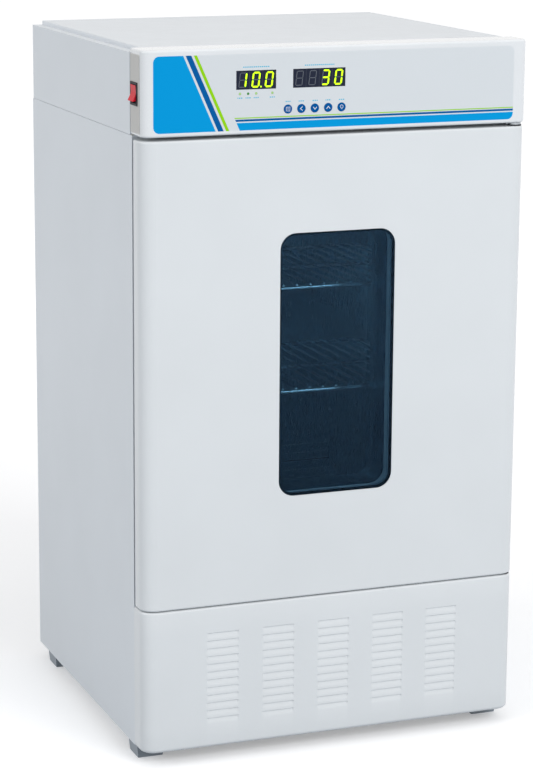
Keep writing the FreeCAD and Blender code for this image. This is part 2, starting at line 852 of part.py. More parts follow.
def door():
    """The door's skin, insulation, liner, glazing, gasket and hinge bushes."""
    bore = S.PinRadius + S.PinClearance + S.BushWall
    hole = ((-window_half, window_half), (window_bottom, window_top))
    spacer = ((-window_half - S.SpacerWall, window_half + S.SpacerWall),
              (window_bottom - S.SpacerWall, window_top + S.SpacerWall))
    spacer_radius = S.WindowRadius + S.SpacerWall

    skin = front_cap("door_skin", half_width, S.DoorThickness, door_bottom, door_top,
                     S.FrontRadius, S.RimRadius, S.RimRadius, S.DoorSheet)
    skin.carve(rounded(skin.sketch("XZ", front), *hole, S.WindowRadius), S.DoorSheet * 2)
    drills = [rod("skin_drill", "z", (hinge_x, hinge_y, level), bore + S.BoreFit, 4)
              for level in (door_bottom - 1, door_top - 3)]
    node("door_skin", cut("skin_cut", skin.body, *drills))

    foam = front_cap_core("door_foam")
    seat = ((-(chamber_half - S.PlugClearance - S.PlugWall), chamber_half - S.PlugClearance - S.PlugWall),
            (S.ChamberFloor + S.PlugClearance + S.PlugWall,
             chamber_top - S.PlugClearance - S.PlugWall))
    foam.grow(rounded(foam.sketch("XZ", door_back - S.PlugWall), *seat, S.PlugRadius - S.PlugWall),
              S.PlugDepth)
    foam.carve(rounded(foam.sketch("XZ", front), *spacer, spacer_radius), S.DoorThickness)
    foam.carve(rounded(foam.sketch("XZ", front), (hole[0][0] - S.PlugWall, hole[0][1] + S.PlugWall),
                       (window_bottom - S.PlugWall, window_top + S.PlugWall),
                       S.WindowRadius + S.PlugWall), S.CabinetDepth / 2)
    drills = [rod("foam_drill", "z", (hinge_x, hinge_y, level), bore, length)
              for level, length in ((door_bottom - 1, S.BushLength + 1),
                                    (door_top - S.BushLength, S.BushLength + 1))]
    node("door_foam", cut("foam_door_cut", foam.body, *drills))

    liner = Body("door_liner")
    plug = ((-(chamber_half - S.PlugClearance), chamber_half - S.PlugClearance),
            (S.ChamberFloor + S.PlugClearance, chamber_top - S.PlugClearance))
    flange_front = door_back - S.PlugWall
    edge = S.DoorSheet + S.LinerFit
    liner.grow(rectangle(liner.sketch("XZ", flange_front), (edge - half_width, half_width - edge),
                         (door_bottom + edge, door_top - edge)), S.PlugWall)
    liner.grow(rounded(liner.sketch("XZ", door_back), *plug, S.PlugRadius), S.PlugDepth)
    liner.carve(rounded(liner.sketch("XZ", flange_front), *seat, S.PlugRadius - S.PlugWall), S.PlugDepth)
    liner.grow(rounded(liner.sketch("XZ", flange_front),
                       (hole[0][0] - S.PlugWall, hole[0][1] + S.PlugWall),
                       (window_bottom - S.PlugWall, window_top + S.PlugWall),
                       S.WindowRadius + S.PlugWall), S.PlugDepth + S.PlugWall)
    liner.carve(rounded(liner.sketch("XZ", flange_front - 1), *hole, S.WindowRadius), S.PlugDepth * 2)
    node("door_liner", liner.body)

    glass_front = front + S.GlassInset
    glass_back = glass_front + S.GlassThickness
    pane = ((hole[0][0] + S.GlassFit, hole[0][1] - S.GlassFit),
            (window_bottom + S.GlassFit, window_top - S.GlassFit))
    outer = Body("window_outer_glass")
    outer.grow(rounded(outer.sketch("XZ", glass_front), *pane, S.WindowRadius - S.GlassFit),
               S.GlassThickness)
    node("window_outer_glass", outer.body)

    inner_back = door_back - S.PlugWall
    inner_front = inner_back - S.GlassThickness
    inner = Body("window_inner_glass")
    inner.grow(rounded(inner.sketch("XZ", inner_front), *spacer, spacer_radius), S.GlassThickness)
    node("window_inner_glass", inner.body)

    seal_back = glass_back + S.SealDepth
    seal = Body("window_seal")
    seal.grow(rounded(seal.sketch("XZ", front + S.DoorSheet), *spacer, spacer_radius),
              seal_back - front - S.DoorSheet)
    seal.carve(rounded(seal.sketch("XZ", front), (hole[0][0], hole[0][1]), hole[1], S.WindowRadius),
               glass_back - front)
    seal.carve(rounded(seal.sketch("XZ", front), (hole[0][0] + 3, hole[0][1] - 3),
                       (window_bottom + 3, window_top - 3), S.WindowRadius - 3), S.DoorThickness)
    node("window_seal", seal.body)

    reveal = Body("window_spacer")
    reveal.grow(rounded(reveal.sketch("XZ", seal_back), *spacer, spacer_radius),
                inner_front - seal_back)
    reveal.carve(rounded(reveal.sketch("XZ", seal_back), *hole, S.WindowRadius), S.DoorThickness)
    node("window_spacer", reveal.body)

    inside = (plug[0][1] + S.GasketInset, (plug[1][0] - S.GasketInset, plug[1][1] + S.GasketInset))
    width = S.GasketWidth
    gasket = Body("door_gasket")
    gasket.grow(rounded(gasket.sketch("XZ", door_back), (-inside[0] - width, inside[0] + width),
                        (inside[1][0] - width, inside[1][1] + width), S.PlugRadius + 9),
                S.GasketGap - S.GasketClearance)
    gasket.carve(rounded(gasket.sketch("XZ", door_back), (-inside[0], inside[0]), inside[1],
                         S.PlugRadius), S.GasketGap)
    node("door_gasket", gasket.body)

    lower_collar = S.PlinthGap - S.BushGapLower
    upper_collar = S.HeaderGap - S.CaseSeam - S.BracketThickness - S.BushGapUpper
    for name, low, flange, thick in (
            ("lower", door_bottom, door_bottom - lower_collar, lower_collar),
            ("upper", door_top - S.BushLength, door_top, upper_collar)):
        barrel = rod(f"bush_{name}", "z", (hinge_x, hinge_y, low), bore, S.BushLength)
        collar = rod(f"collar_{name}", "z", (hinge_x, hinge_y, flange), bore + S.BushFlange, thick)
        drill = rod(f"bush_drill_{name}", "z", (hinge_x, hinge_y, low - 5),
                    S.PinRadius + S.PinClearance, S.BushLength + 10)
        node(f"hinge_bush_{name}", cut(f"bush_cut_{name}", fuse(f"bush_whole_{name}", barrel, collar),
                                       drill))


def front_cap_core(name):
    """The solid form that fills the inside of the door's skin."""
    piece = Body(name)
    wall = S.DoorSheet
    begin = front + wall
    plan = piece.sketch("XY", door_bottom + wall)
    rectangle(plan, (wall - half_width, half_width - wall), (begin, door_back - S.PlugWall))
    piece.grow(plan, door_top - door_bottom - 2 * wall)
    piece.soften(lambda edge: runs(edge, "z") and near(edge.BoundBox.YMin, begin),
                 S.FrontRadius - wall)
    back = door_back - S.PlugWall
    piece.soften(rim(door_bottom + wall, back), S.RimRadius - wall)
    piece.soften(rim(door_top - wall, back), S.RimRadius - wall)
    return piece


def hinges():
    """Upper and lower brackets with their pins."""
    across = (hinge_x - S.BracketHalfWidth, inner_half - S.BracketSideGap)
    top = cabinet_top - S.BracketThickness
    plate = box("upper_plate", across, (hinge_y, front + S.BracketReach), (top, cabinet_top))
    ear = rod("upper_ear", "z", (hinge_x, hinge_y, top), S.BracketEar, S.BracketThickness)
    pin = rod("upper_pin", "z", (hinge_x, hinge_y, top - S.PinLength), S.PinRadius, S.PinLength)
    node("hinge_bracket_upper", fuse("upper_bracket", plate, ear, pin))

    shelf_top = plinth_top - S.SheetWall - 0.5
    thick = S.LeafThickness
    plate = box("lower_plate", across, (hinge_y, frame_front), (shelf_top - thick, shelf_top))
    ear = rod("lower_ear", "z", (hinge_x, hinge_y, shelf_top - thick), S.BracketEar, thick)
    leaf = box("lower_leaf", across, (frame_front - thick, frame_front),
               (S.DeckHeight + 2, shelf_top))
    height = door_bottom + S.PinLength - shelf_top
    pin = rod("lower_pin", "z", (hinge_x, hinge_y, shelf_top), S.PinRadius, height)
    node("hinge_bracket_lower", fuse("lower_bracket", plate, ear, leaf, pin))


def kick_panel():
    """The hollow plinth front with its embossed louvres."""
    panel = front_cap("kick_panel", half_width, S.PlinthDepth, S.PlinthLift, plinth_top,
                      S.FrontRadius, S.PlinthLowerRadius, S.RimRadius, S.SheetWall)
    span = (LOUVRE_COLUMNS - 1) / 2
    slots = [rod("kick_drill", "z", (hinge_x, hinge_y, plinth_top - 4), S.PinRadius + 1.5, 8)]
    hoods = []
    for column in range(LOUVRE_COLUMNS):
        middle = S.LouvreColumnPitch * (column - span)
        for level in range(LOUVRE_ROWS):
            top = S.PlinthLift + S.LouvreTop - S.LouvrePitch * level
            slots.append(box("louvre_slot",
                             (middle - S.LouvreWidth / 2, middle + S.LouvreWidth / 2),
                             (front - 1, front + S.SheetWall + 1), (top - S.LouvreHeight + 1, top)))
            hoods.append(hood(middle, top))
    slotted = cut("kick_slotted", panel.body, *slots)
    node("kick_panel", fuse("kick_fused", slotted, *hoods))


def hood(middle, top):
    """One louvre hood, open at its upper edge."""
    wall = S.LouvreWall
    half = S.LouvreWidth / 2
    outer = frustum("hood_outer", middle, top, (half - 1.5, 2.2), (half + 0.3, S.LouvreHeight),
                    (front - S.LouvreLift, front + 0.1))
    inner = frustum("hood_inner", middle, top + 0.2, (half - 1.5 - wall, 1.6),
                    (half + 0.3 - wall, S.LouvreHeight - wall),
                    (front - S.LouvreLift + wall, front + 0.3))
    return cut("hood", outer, inner)


def frustum(name, middle, top, small, large, along):
    """A tapered block between a small front face and a large back one, under one level."""
    item = doc.addObject("Part::Wedge", name)
    for key, size in (("Xmin", -small[0]), ("Xmax", small[0]), ("X2min", -large[0]),
                      ("X2max", large[0]), ("Ymin", along[0]), ("Ymax", along[1]),
                      ("Zmin", -as_size(small[1])), ("Zmax", 0), ("Z2min", -as_size(large[1])),
                      ("Z2max", 0)):
        bind(item, key, size)
    place(item, (middle, 0, top))
    return item


def header():
    """The control header with its overlay, displays, keys, lamps and board."""
    half = half_width - S.HeaderInset
    shell = front_cap("header_panel", half, S.HeaderDepth, header_bottom, S.OverallHeight,
                      S.HeaderRadius, S.HeaderRim, S.HeaderRim, S.HeaderWall)
    overlay_across = (S.OverlayLeft - half, half - S.OverlayRight)
    overlay_low = header_bottom + S.OverlayLift
    overlay_up = (overlay_low, overlay_low + S.OverlayHeight)
    shell.carve(rounded(shell.sketch("XZ", front), overlay_across, overlay_up, S.OverlayRadius),
                S.OverlayThickness)
    displays = []
    for middle, digits in ((S.DisplayOneX, 3), (S.DisplayTwoX, 4)):
        reach = S.DigitPitch * digits / 2
        displays.append(((middle - reach, middle + reach),
                         (header_bottom + S.DisplayLift, header_bottom + S.DisplayLift + S.DisplayHeight)))
    keys = [S.KeyFirstX + S.KeyPitch * i for i in range(KEYS)]
    lamps = [S.DisplayOneX + S.LampPitch * place for place in LAMP_PLACES]
    key_level = header_bottom + S.KeyLift
    lamp_level = header_bottom + S.LampLift

    overlay = Body("control_overlay")
    overlay.grow(rounded(overlay.sketch("XZ", front), overlay_across, overlay_up, S.OverlayRadius),
                 S.OverlayThickness)
    for piece in (shell, overlay):
        holes = piece.sketch("XZ", front)
        for across, up in displays:
            rectangle(holes, across, up)
        for x in keys:
            circle(holes, x, key_level, S.KeyRadius + S.KeyClearance)
        for x in lamps:
            circle(holes, x, lamp_level, S.LampRadius + 0.1)
        piece.carve(holes, S.HeaderWall * 2)
    node("control_overlay", overlay.body)

    switch_y = front + S.SwitchSetback
    switch_z = header_bottom + S.SwitchLift
    gap = box("switch_gap", (-half - 1, S.HeaderWall + 1 - half),
              (switch_y - S.BezelWidth / 2 + 2, switch_y + S.BezelWidth / 2 - 2),
              (switch_z - S.BezelHeight / 2 + 2, switch_z + S.BezelHeight / 2 - 2))
    node("header_panel", cut("header_cut", shell.body, gap))

    clear = 0.15
    for name, (across, up) in zip(("temperature", "timer"), displays):
        begin = front + S.DisplaySetback
        module = box(f"module_{name}", (across[0] + clear, across[1] - clear),
                     (begin, begin + S.DisplayDepth), (up[0] + clear, up[1] - clear))
        node(f"display_{name}", module)

    board_front = front + S.DisplaySetback + S.DisplayDepth
    board = box("board_plate", (-140, 20), (board_front, board_front + S.BoardThickness),
                (key_level - 12, header_bottom + S.DisplayLift + S.DisplayHeight + 8))
    key_back = front - S.KeyProud + S.KeyLength
    switches = [box("key_switch", (x - 3, x + 3), (key_back + S.KeyTravel + 0.3, board_front + 0.5),
                    (key_level - 3, key_level + 3)) for x in keys]
    node("display_board", fuse("board", board, *switches))

    for i, x in enumerate(keys, 1):
        cap = Body(f"key_{i}")
        cap.grow(circle(cap.sketch("XZ", 0), 0, 0, S.KeyRadius), S.KeyLength)
        cap.soften(lambda edge: near(edge.BoundBox.YMax, 0), 0.5)
        place(cap.body, (x, front - S.KeyProud, key_level))
        node(f"key_{i}", cap.body)

    lights = [rod("lamp", "y", (x, front + 0.2, lamp_level), S.LampRadius, board_front - front - 0.2)
              for x in lamps]
    node("indicator_leds", group("lamps", *lights))

    plate_begin = front + S.SwitchPlateSetback
    plate = box("plate", (-half - S.SwitchPlateThickness, -half),
                (plate_begin, plate_begin + S.SwitchPlateWidth),
                (switch_z - S.SwitchPlateHeight / 2, switch_z + S.SwitchPlateHeight / 2))
    window = box("plate_gap", (-half - 2, 2 - half),
                 (switch_y - S.BezelWidth / 2, switch_y + S.BezelWidth / 2),
                 (switch_z - S.BezelHeight / 2, switch_z + S.BezelHeight / 2))
    node("switch_plate", cut("plate_cut", plate, window))

    bezel = box("bezel", (-half - S.BezelThickness, -half),
                (switch_y - S.BezelWidth / 2, switch_y + S.BezelWidth / 2),
                (switch_z - S.BezelHeight / 2, switch_z + S.BezelHeight / 2))
    housing = box("housing", (-half, 24 - half),
                  (switch_y - S.BezelWidth / 2 + 2.2, switch_y + S.BezelWidth / 2 - 2.2),
                  (switch_z - S.BezelHeight / 2 + 2.2, switch_z + S.BezelHeight / 2 - 2.2))
    well = box("well", (-half - 3, 9 - half),
               (switch_y - S.RockerWidth / 2 - 0.4, switch_y + S.RockerWidth / 2 + 0.4),
               (switch_z - S.RockerHeight / 2 - 0.5, switch_z + S.RockerHeight / 2 + 0.5))
    pin_x = S.PivotDepth - half
    pin_reach = S.RockerWidth / 2 + 0.8
    pin = rod("rocker_pin", "y", (pin_x, switch_y - pin_reach, switch_z), S.PivotRadius, 2 * pin_reach)
    hollow = cut("switch_cut", fuse("switch_whole", bezel, housing), well)
    node("power_switch_body", fuse("switch_pinned", hollow, pin))

    rocker = Body("rocker_actuator")
    reach = S.RockerHeight / 2 - 0.9
    outline = [(-5.8, -reach), (-3.6, -1.5), (-3.6, 1.5), (-5.8, reach), (0.8, reach - 2),
               (2.8, 2), (2.8, -2), (0.8, 2 - reach)]
    side = polygon(rocker.sketch("XZ", -S.RockerWidth / 2), outline)
    rocker.grow(circle(side, 0, 0, S.PivotRadius + S.PivotClearance), S.RockerWidth)
    place(rocker.body, (pin_x, switch_y, switch_z))
    for axis, share in zip("xyz", (0, 1, 0)):
        rocker.body.setExpression(f"Placement.Rotation.Axis.{axis}", str(share))
    bind(rocker.body, "Placement.Rotation.Angle", S.RockerTilt)
    node("rocker_actuator", rocker.body)


def control_case():
    """The case behind the header, its cover and the power board inside."""
    wall = S.SheetWall
    case = Body("control_case")
    case.grow(rectangle(case.sketch("XY", cabinet_top), (-inner_half, inner_half),
                        (header_back, rear_panel_back)), wall)
    inner_back = rear_panel_back - wall
    wrap = [(-half_width, header_back), (wall - half_width, header_back), (wall - half_width, inner_back),
            (half_width - wall, inner_back), (half_width - wall, header_back), (half_width, header_back),
            (half_width, rear_panel_back), (-half_width, rear_panel_back)]
    case.grow(polygon(case.sketch("XY", header_bottom), wrap), case_top - header_bottom)
    lip = S.CaseFlange
    flange = [(-half_width, header_back), (lip - half_width, header_back),
              (lip - half_width, rear_panel_back - lip), (half_width - lip, rear_panel_back - lip),
              (half_width - lip, header_back), (half_width, header_back),
              (half_width, rear_panel_back), (-half_width, rear_panel_back)]
    case.grow(polygon(case.sketch("XY", case_top - wall), flange), wall)
    node("control_case", case.body)

    inset = S.CoverInset
    cover = Body("top_cover")
    cover.grow(rectangle(cover.sketch("XY", case_top), (inset - half_width, half_width - inset),
                         (header_back, rear)), S.CaseDrop)
    cover.shell(lambda face: near(face.BoundBox.ZMax, case_top), wall)
    cover.soften(lambda edge: near(edge.BoundBox.ZMin, S.OverallHeight)
                 and not near(edge.BoundBox.YMax, header_back), S.LidRim)
    node("top_cover", cover.body)

    floor = cabinet_top + wall
    stands = [rod("stand", "z", (x, y, floor), 3, 8) for x in (-110, 90) for y in (-60, 80)]
    board = box("power_plate", (-120, 100), (-70, 90), (floor + 8, floor + 9.6))
    core = box("transformer", (-100, -40), (-40, 20), (floor + 9, floor + 57))
    sink = box("heat_sink", (20, 80), (40, 60), (floor + 9, floor + 44))
    can = rod("capacitor", "z", (30, -20, floor + 9), 12, 30)
    node("power_board", fuse("power", board, core, sink, can, *stands))


def feet():
    """Four tapered feet with a screw bore."""
    size = S.FootSize
    taper = S.FootTaper
    outer = half_width - S.FootSideInset
    for side_name, across in (("left", (-outer, size - outer)), ("right", (outer - size, outer))):
        for end_name, begin in (("front", front + S.FootFrontSetback),
                                ("rear", rear - S.FootRearSetback - size)):
            name = f"foot_{end_name}_{side_name}"
            item = doc.addObject("Part::Wedge", f"{name}_block")
            item.Placement = Placement(Vector(), Rotation(Vector(1, 0, 0), 90))
            place(item, (across[0], begin, 0))
            for key, length in (("Xmin", taper), ("Xmax", size - taper), ("X2min", 0), ("X2max", size),
                                ("Ymin", 0), ("Ymax", S.BaseLift), ("Zmin", taper - size),
                                ("Zmax", -taper), ("Z2min", -size), ("Z2max", 0)):
                bind(item, key, length)
            middle = (across[0] + size / 2, begin + size / 2, -1)
            bore = rod(f"{name}_bore", "z", middle, S.FootBore, S.BaseLift - 5)
            node(name, cut(f"{name}_cut", item, bore))


def machine_space():
    """Compressor, condenser and fan under the chamber, and the inlet."""
    x = S.CompressorX
    y = front + S.CompressorSetback
    shoe = tray_top + S.MountHeight
    can = Body("compressor")
    sketch = can.sketch("XZ", 0)
    radius = S.CompressorRadius
    high = S.CompressorHeight
    polygon(sketch, [(0, 0), (radius * 0.62, 0), (radius - 3, 12), (radius - 3, high * 0.42),
                     (radius, high * 0.42), (radius, high * 0.5), (radius - 3, high * 0.5),
                     (radius - 3, high - 26), (radius * 0.6, high - 4), (0, high)])
    turn = can.feature("Revolution", Profile=sketch)
    turn.ReferenceAxis = (sketch, ["V_Axis"])
    turn.Angle = 360
    doc.recompute()
    place(can.body, (x, y, shoe))
    plate = box("compressor_plate", (x - 75, x + 75), (y - 50, y + 50), (shoe, shoe + 3))
    node("compressor", fuse("compressor_whole", can.body, plate))
    mounts = [rod("mount", "z", (x + i * 64, y + j * 40, tray_top), S.MountRadius, S.MountHeight)
              for i in (-1, 1) for j in (-1, 1)]
    node("compressor_mounts", group("mounts", *mounts))

    half = S.CondenserWidth / 2
    begin = front + S.CondenserSetback
    fin_block("condenser_coil", (-half, half), (begin, begin + S.CondenserDepth),
              (tray_top, tray_top + S.CondenserHeight), 4)

    fan_y = front + S.FanSetback
    fan_x = -60.0
    fan_z = tray_top + S.FanFrame / 2
    reach = S.FanFrame / 2
    plate = box("fan_block", (fan_x - reach, fan_x + reach), (fan_y, fan_y + S.FanFrameDepth),
                (tray_top, tray_top + S.FanFrame))
    ring = rod("fan_ring", "y", (fan_x, fan_y - 1, fan_z), S.FanRing, S.FanFrameDepth + 2)
    arms = [box("fan_arm_across", (fan_x - reach + 1, fan_x + reach - 1),
                (fan_y + S.FanFrameDepth - 3, fan_y + S.FanFrameDepth), (fan_z - 3, fan_z + 3)),
            box("fan_arm_up", (fan_x - 3, fan_x + 3),
                (fan_y + S.FanFrameDepth - 3, fan_y + S.FanFrameDepth),
                (fan_z - reach + 1, fan_z + reach - 1))]
    motor = rod("fan_motor", "y", (fan_x, fan_y + S.FanFrameDepth - 5, fan_z), S.HubRadius, 5)
    shaft = rod("fan_shaft", "y", (fan_x, fan_y + 2, fan_z), S.ShaftRadius, S.FanFrameDepth - 4)
    node("condenser_fan_frame", fuse("fan_frame", cut("fan_bored", plate, ring), *arms, motor, shaft))
    fan_blade("condenser_fan", S.FanRadius, S.HubRadius, fan_y + 3, 14.0, fan_x, fan_z, FAN_BLADES)

    x = S.InletX
    z = S.InletLift
    inlet = box("inlet_body", (x - 13.6, x + 13.6), (rear_panel_front - 22, rear_panel_back),
                (z - 10.1, z + 10.1))
    lip = box("inlet_lip", (x - 19, x + 19), (rear_panel_back, rear), (z - 14.5, z + 14.5))
    well = box("inlet_well", (x - 11.5, x + 11.5), (rear_panel_back - 16, rear + 1), (z - 7.5, z + 7.5))
    blades = [box("inlet_blade", (x + shift - 1, x + shift + 1), (rear_panel_back - 17, rear - 2),
                  (z - 2.5, z + 2.5)) for shift in (-6, 0, 6)]
    node("power_inlet", fuse("inlet", cut("inlet_hollow", fuse("inlet_whole", inlet, lip), well), *blades))


cabinet_panels()
chamber()
shelves()
door()
hinges()
kick_panel()
header()
control_case()
feet()
machine_space()
doc.recompute()

for item in doc.Objects:
    if "Invalid" in item.State or "Error" in item.State:
        raise RuntimeError(f"{item.Label} failed: {item.State}")
for item in nodes:
    if item.Shape.isNull() or not item.Shape.isValid():
        raise RuntimeError(f"{item.Label} has no valid shape")

os.makedirs("parts", exist_ok=True)
for item in nodes:
    item.Shape.exportStep(f"parts/{item.Label}.step")
    print(f"{item.Label}: {len(item.Shape.Solids)} solids, {item.Shape.Volume:.0f} mm3")
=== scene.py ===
"""Looks of the benchtop incubator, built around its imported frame.

Units are metres. X runs along the front from left to right, Y to the back and Z up.
"""
import logging
import math
from dataclasses import dataclass, field
from enum import Enum
from typing import Callable, Sequence

import bmesh
import bpy
from mathutils import Matrix, Vector


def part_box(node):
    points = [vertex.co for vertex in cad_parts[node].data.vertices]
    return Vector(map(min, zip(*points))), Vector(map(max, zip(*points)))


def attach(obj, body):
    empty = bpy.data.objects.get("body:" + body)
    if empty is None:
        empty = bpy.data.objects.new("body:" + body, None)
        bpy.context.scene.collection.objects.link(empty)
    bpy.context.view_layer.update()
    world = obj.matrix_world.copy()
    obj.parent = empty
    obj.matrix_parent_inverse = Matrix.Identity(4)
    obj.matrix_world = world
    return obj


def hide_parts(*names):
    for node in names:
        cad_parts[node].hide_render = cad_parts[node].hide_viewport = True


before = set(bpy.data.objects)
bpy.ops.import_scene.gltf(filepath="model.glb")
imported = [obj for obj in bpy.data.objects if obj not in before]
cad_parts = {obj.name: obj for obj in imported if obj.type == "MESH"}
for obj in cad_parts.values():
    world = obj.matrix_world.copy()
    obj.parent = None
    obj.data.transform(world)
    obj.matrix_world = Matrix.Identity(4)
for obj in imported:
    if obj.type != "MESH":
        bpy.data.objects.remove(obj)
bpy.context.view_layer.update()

MM = 0.001
LOG = logging.getLogger("incubator")
SCREEN_WHITE = 255
SCREEN_KNEE, SCREEN_SLOPE, SCREEN_OFFSET, SCREEN_GAMMA = 0.04045, 12.92, 0.055, 2.4
SHARP_EDGE = math.radians(40.0)
MITRE_LEAST = 0.4

Flat = tuple[float, float]
Point = tuple[float, float, float]
Colour = tuple[float, float, float]


def linear(red: int, green: int, blue: int) -> Colour:
    """Gives the linear colour of an 8-bit screen colour.

    Args:
        red: Red from 0 to 255.
        green: Green from 0 to 255.
        blue: Blue from 0 to 255.

    Returns:
        The three linear components.
    """
    def channel(value: int) -> float:
        """Undoes the screen's gamma for one component."""
        share = value / SCREEN_WHITE
        if share <= SCREEN_KNEE:
            return share / SCREEN_SLOPE
        return ((share + SCREEN_OFFSET) / (1 + SCREEN_OFFSET)) ** SCREEN_GAMMA
    return channel(red), channel(green), channel(blue)


def circle(radius: float, sides: int) -> list[Flat]:
    """Gives the points of a circle about the origin, once round."""
    return [(radius * math.cos(turn), radius * math.sin(turn))
            for turn in (2 * math.pi * side / sides for side in range(sides))]


class Grain(Enum):
    """What the surface of a finish looks like from close by."""

    ORANGE_PEEL = "orange_peel"
    BRUSHED = "brushed"
    MOULDED = "moulded"
    ROLLED = "rolled"
    CAST = "cast"
    FOAMED = "foamed"
    POLISHED = "polished"


class NodeTree:
    """A small helper that adds and links shader nodes in one tree."""

    def __init__(self, tree: bpy.types.NodeTree) -> None:
        """Keeps the tree that the nodes go into."""
        self.tree = tree

    def add(self, kind: str, **values: object) -> bpy.types.Node:
        """Adds a node.

        Args:
            kind: The node's class name in bpy.
            **values: Properties of the node to set.

        Returns:
            The new node.
        """
        node = self.tree.nodes.new(kind)
        for name, value in values.items():
            setattr(node, name, value)
        return node

    def wire(self, source: object, target: bpy.types.NodeSocket) -> None:
        """Links an output to an input, or sets the input where the source is a plain value."""
        if isinstance(source, bpy.types.NodeSocket):
            self.tree.links.new(source, target)
        else:
            target.default_value = source

    def math(self, operation: str, first: object, second: object = 0.0,
             clamp: bool = False) -> bpy.types.NodeSocket:
        """Adds a Math node and returns its output.

        Args:
            operation: The Math node's operation.
            first: Its first socket or value.
            second: Its second socket or value.
            clamp: Whether the result is kept between 0 and 1.

        Returns:
            The output socket.
        """
        node = self.add("ShaderNodeMath", operation=operation, use_clamp=clamp)
        self.wire(first, node.inputs[0])
        self.wire(second, node.inputs[1])
        return node.outputs[0]

    def mix(self, share: object, first: object, second: object) -> bpy.types.NodeSocket:
        """Mixes two colours.

        Args:
            share: The share of the second colour.
            first: The first colour, a socket or three numbers.
            second: The second colour, a socket or three numbers.

        Returns:
            The mixed colour's socket.
        """
        node = self.add("ShaderNodeMix", data_type="RGBA")
        self.wire(share, node.inputs["Factor"])
        for value, name in ((first, "A"), (second, "B")):
            socket = next(s for s in node.inputs if s.name == name and s.type == "RGBA")
            self.wire(value if isinstance(value, bpy.types.NodeSocket) else (*value, 1.0), socket)
        return next(s for s in node.outputs if s.type == "RGBA")

    def between(self, value: object, low: float, high: float) -> bpy.types.NodeSocket:
        """Gives 1 where a value lies between two others, and 0 elsewhere."""
        return self.math("MULTIPLY", self.math("GREATER_THAN", value, low),
                         self.math("LESS_THAN", value, high))

    def spread(self, value: object, low: float, high: float,
               to_low: float = 0.0, to_high: float = 1.0) -> bpy.types.NodeSocket:
        """Maps a value from one range to another, clamped.

        Args:
            value: The socket to map.
            low: The value that gives to_low.
            high: The value that gives to_high.
            to_low: The result at low.
            to_high: The result at high.

        Returns:
            The mapped value's socket.
        """
        node = self.add("ShaderNodeMapRange")
        for source, name in ((value, "Value"), (low, "From Min"), (high, "From Max"),
                             (to_low, "To Min"), (to_high, "To Max")):
            self.wire(source, node.inputs[name])
        return node.outputs["Result"]

    def noise(self, place: bpy.types.NodeSocket, scale: object, detail: float,
              distortion: float = 0.0) -> bpy.types.NodeSocket:
        """Adds a noise texture.

        Args:
            place: The coordinates it works on.
            scale: Its scale, a socket or a number.
            detail: How many finer layers it has.
            distortion: How much it is warped.

        Returns:
            The socket of its grey value.
        """
        node = self.add("ShaderNodeTexNoise")
        for source, name in ((place, "Vector"), (scale, "Scale"), (detail, "Detail"),
                             (distortion, "Distortion")):
            self.wire(source, node.inputs[name])
        return node.outputs["Fac"]

    def effect(self, tree: bpy.types.NodeTree, place: bpy.types.NodeSocket,
               **values: float) -> bpy.types.Node:
        """Adds a shared effect's group.

        Args:
            tree: The group.
            place: The coordinates it works on.
            **values: Values for its inputs.

        Returns:
            The group's node.
        """
        node = self.add("ShaderNodeGroup", node_tree=tree)
        self.wire(place, node.inputs["Vector"])
        for name, value in values.items():
            node.inputs[name].default_value = value
        return node


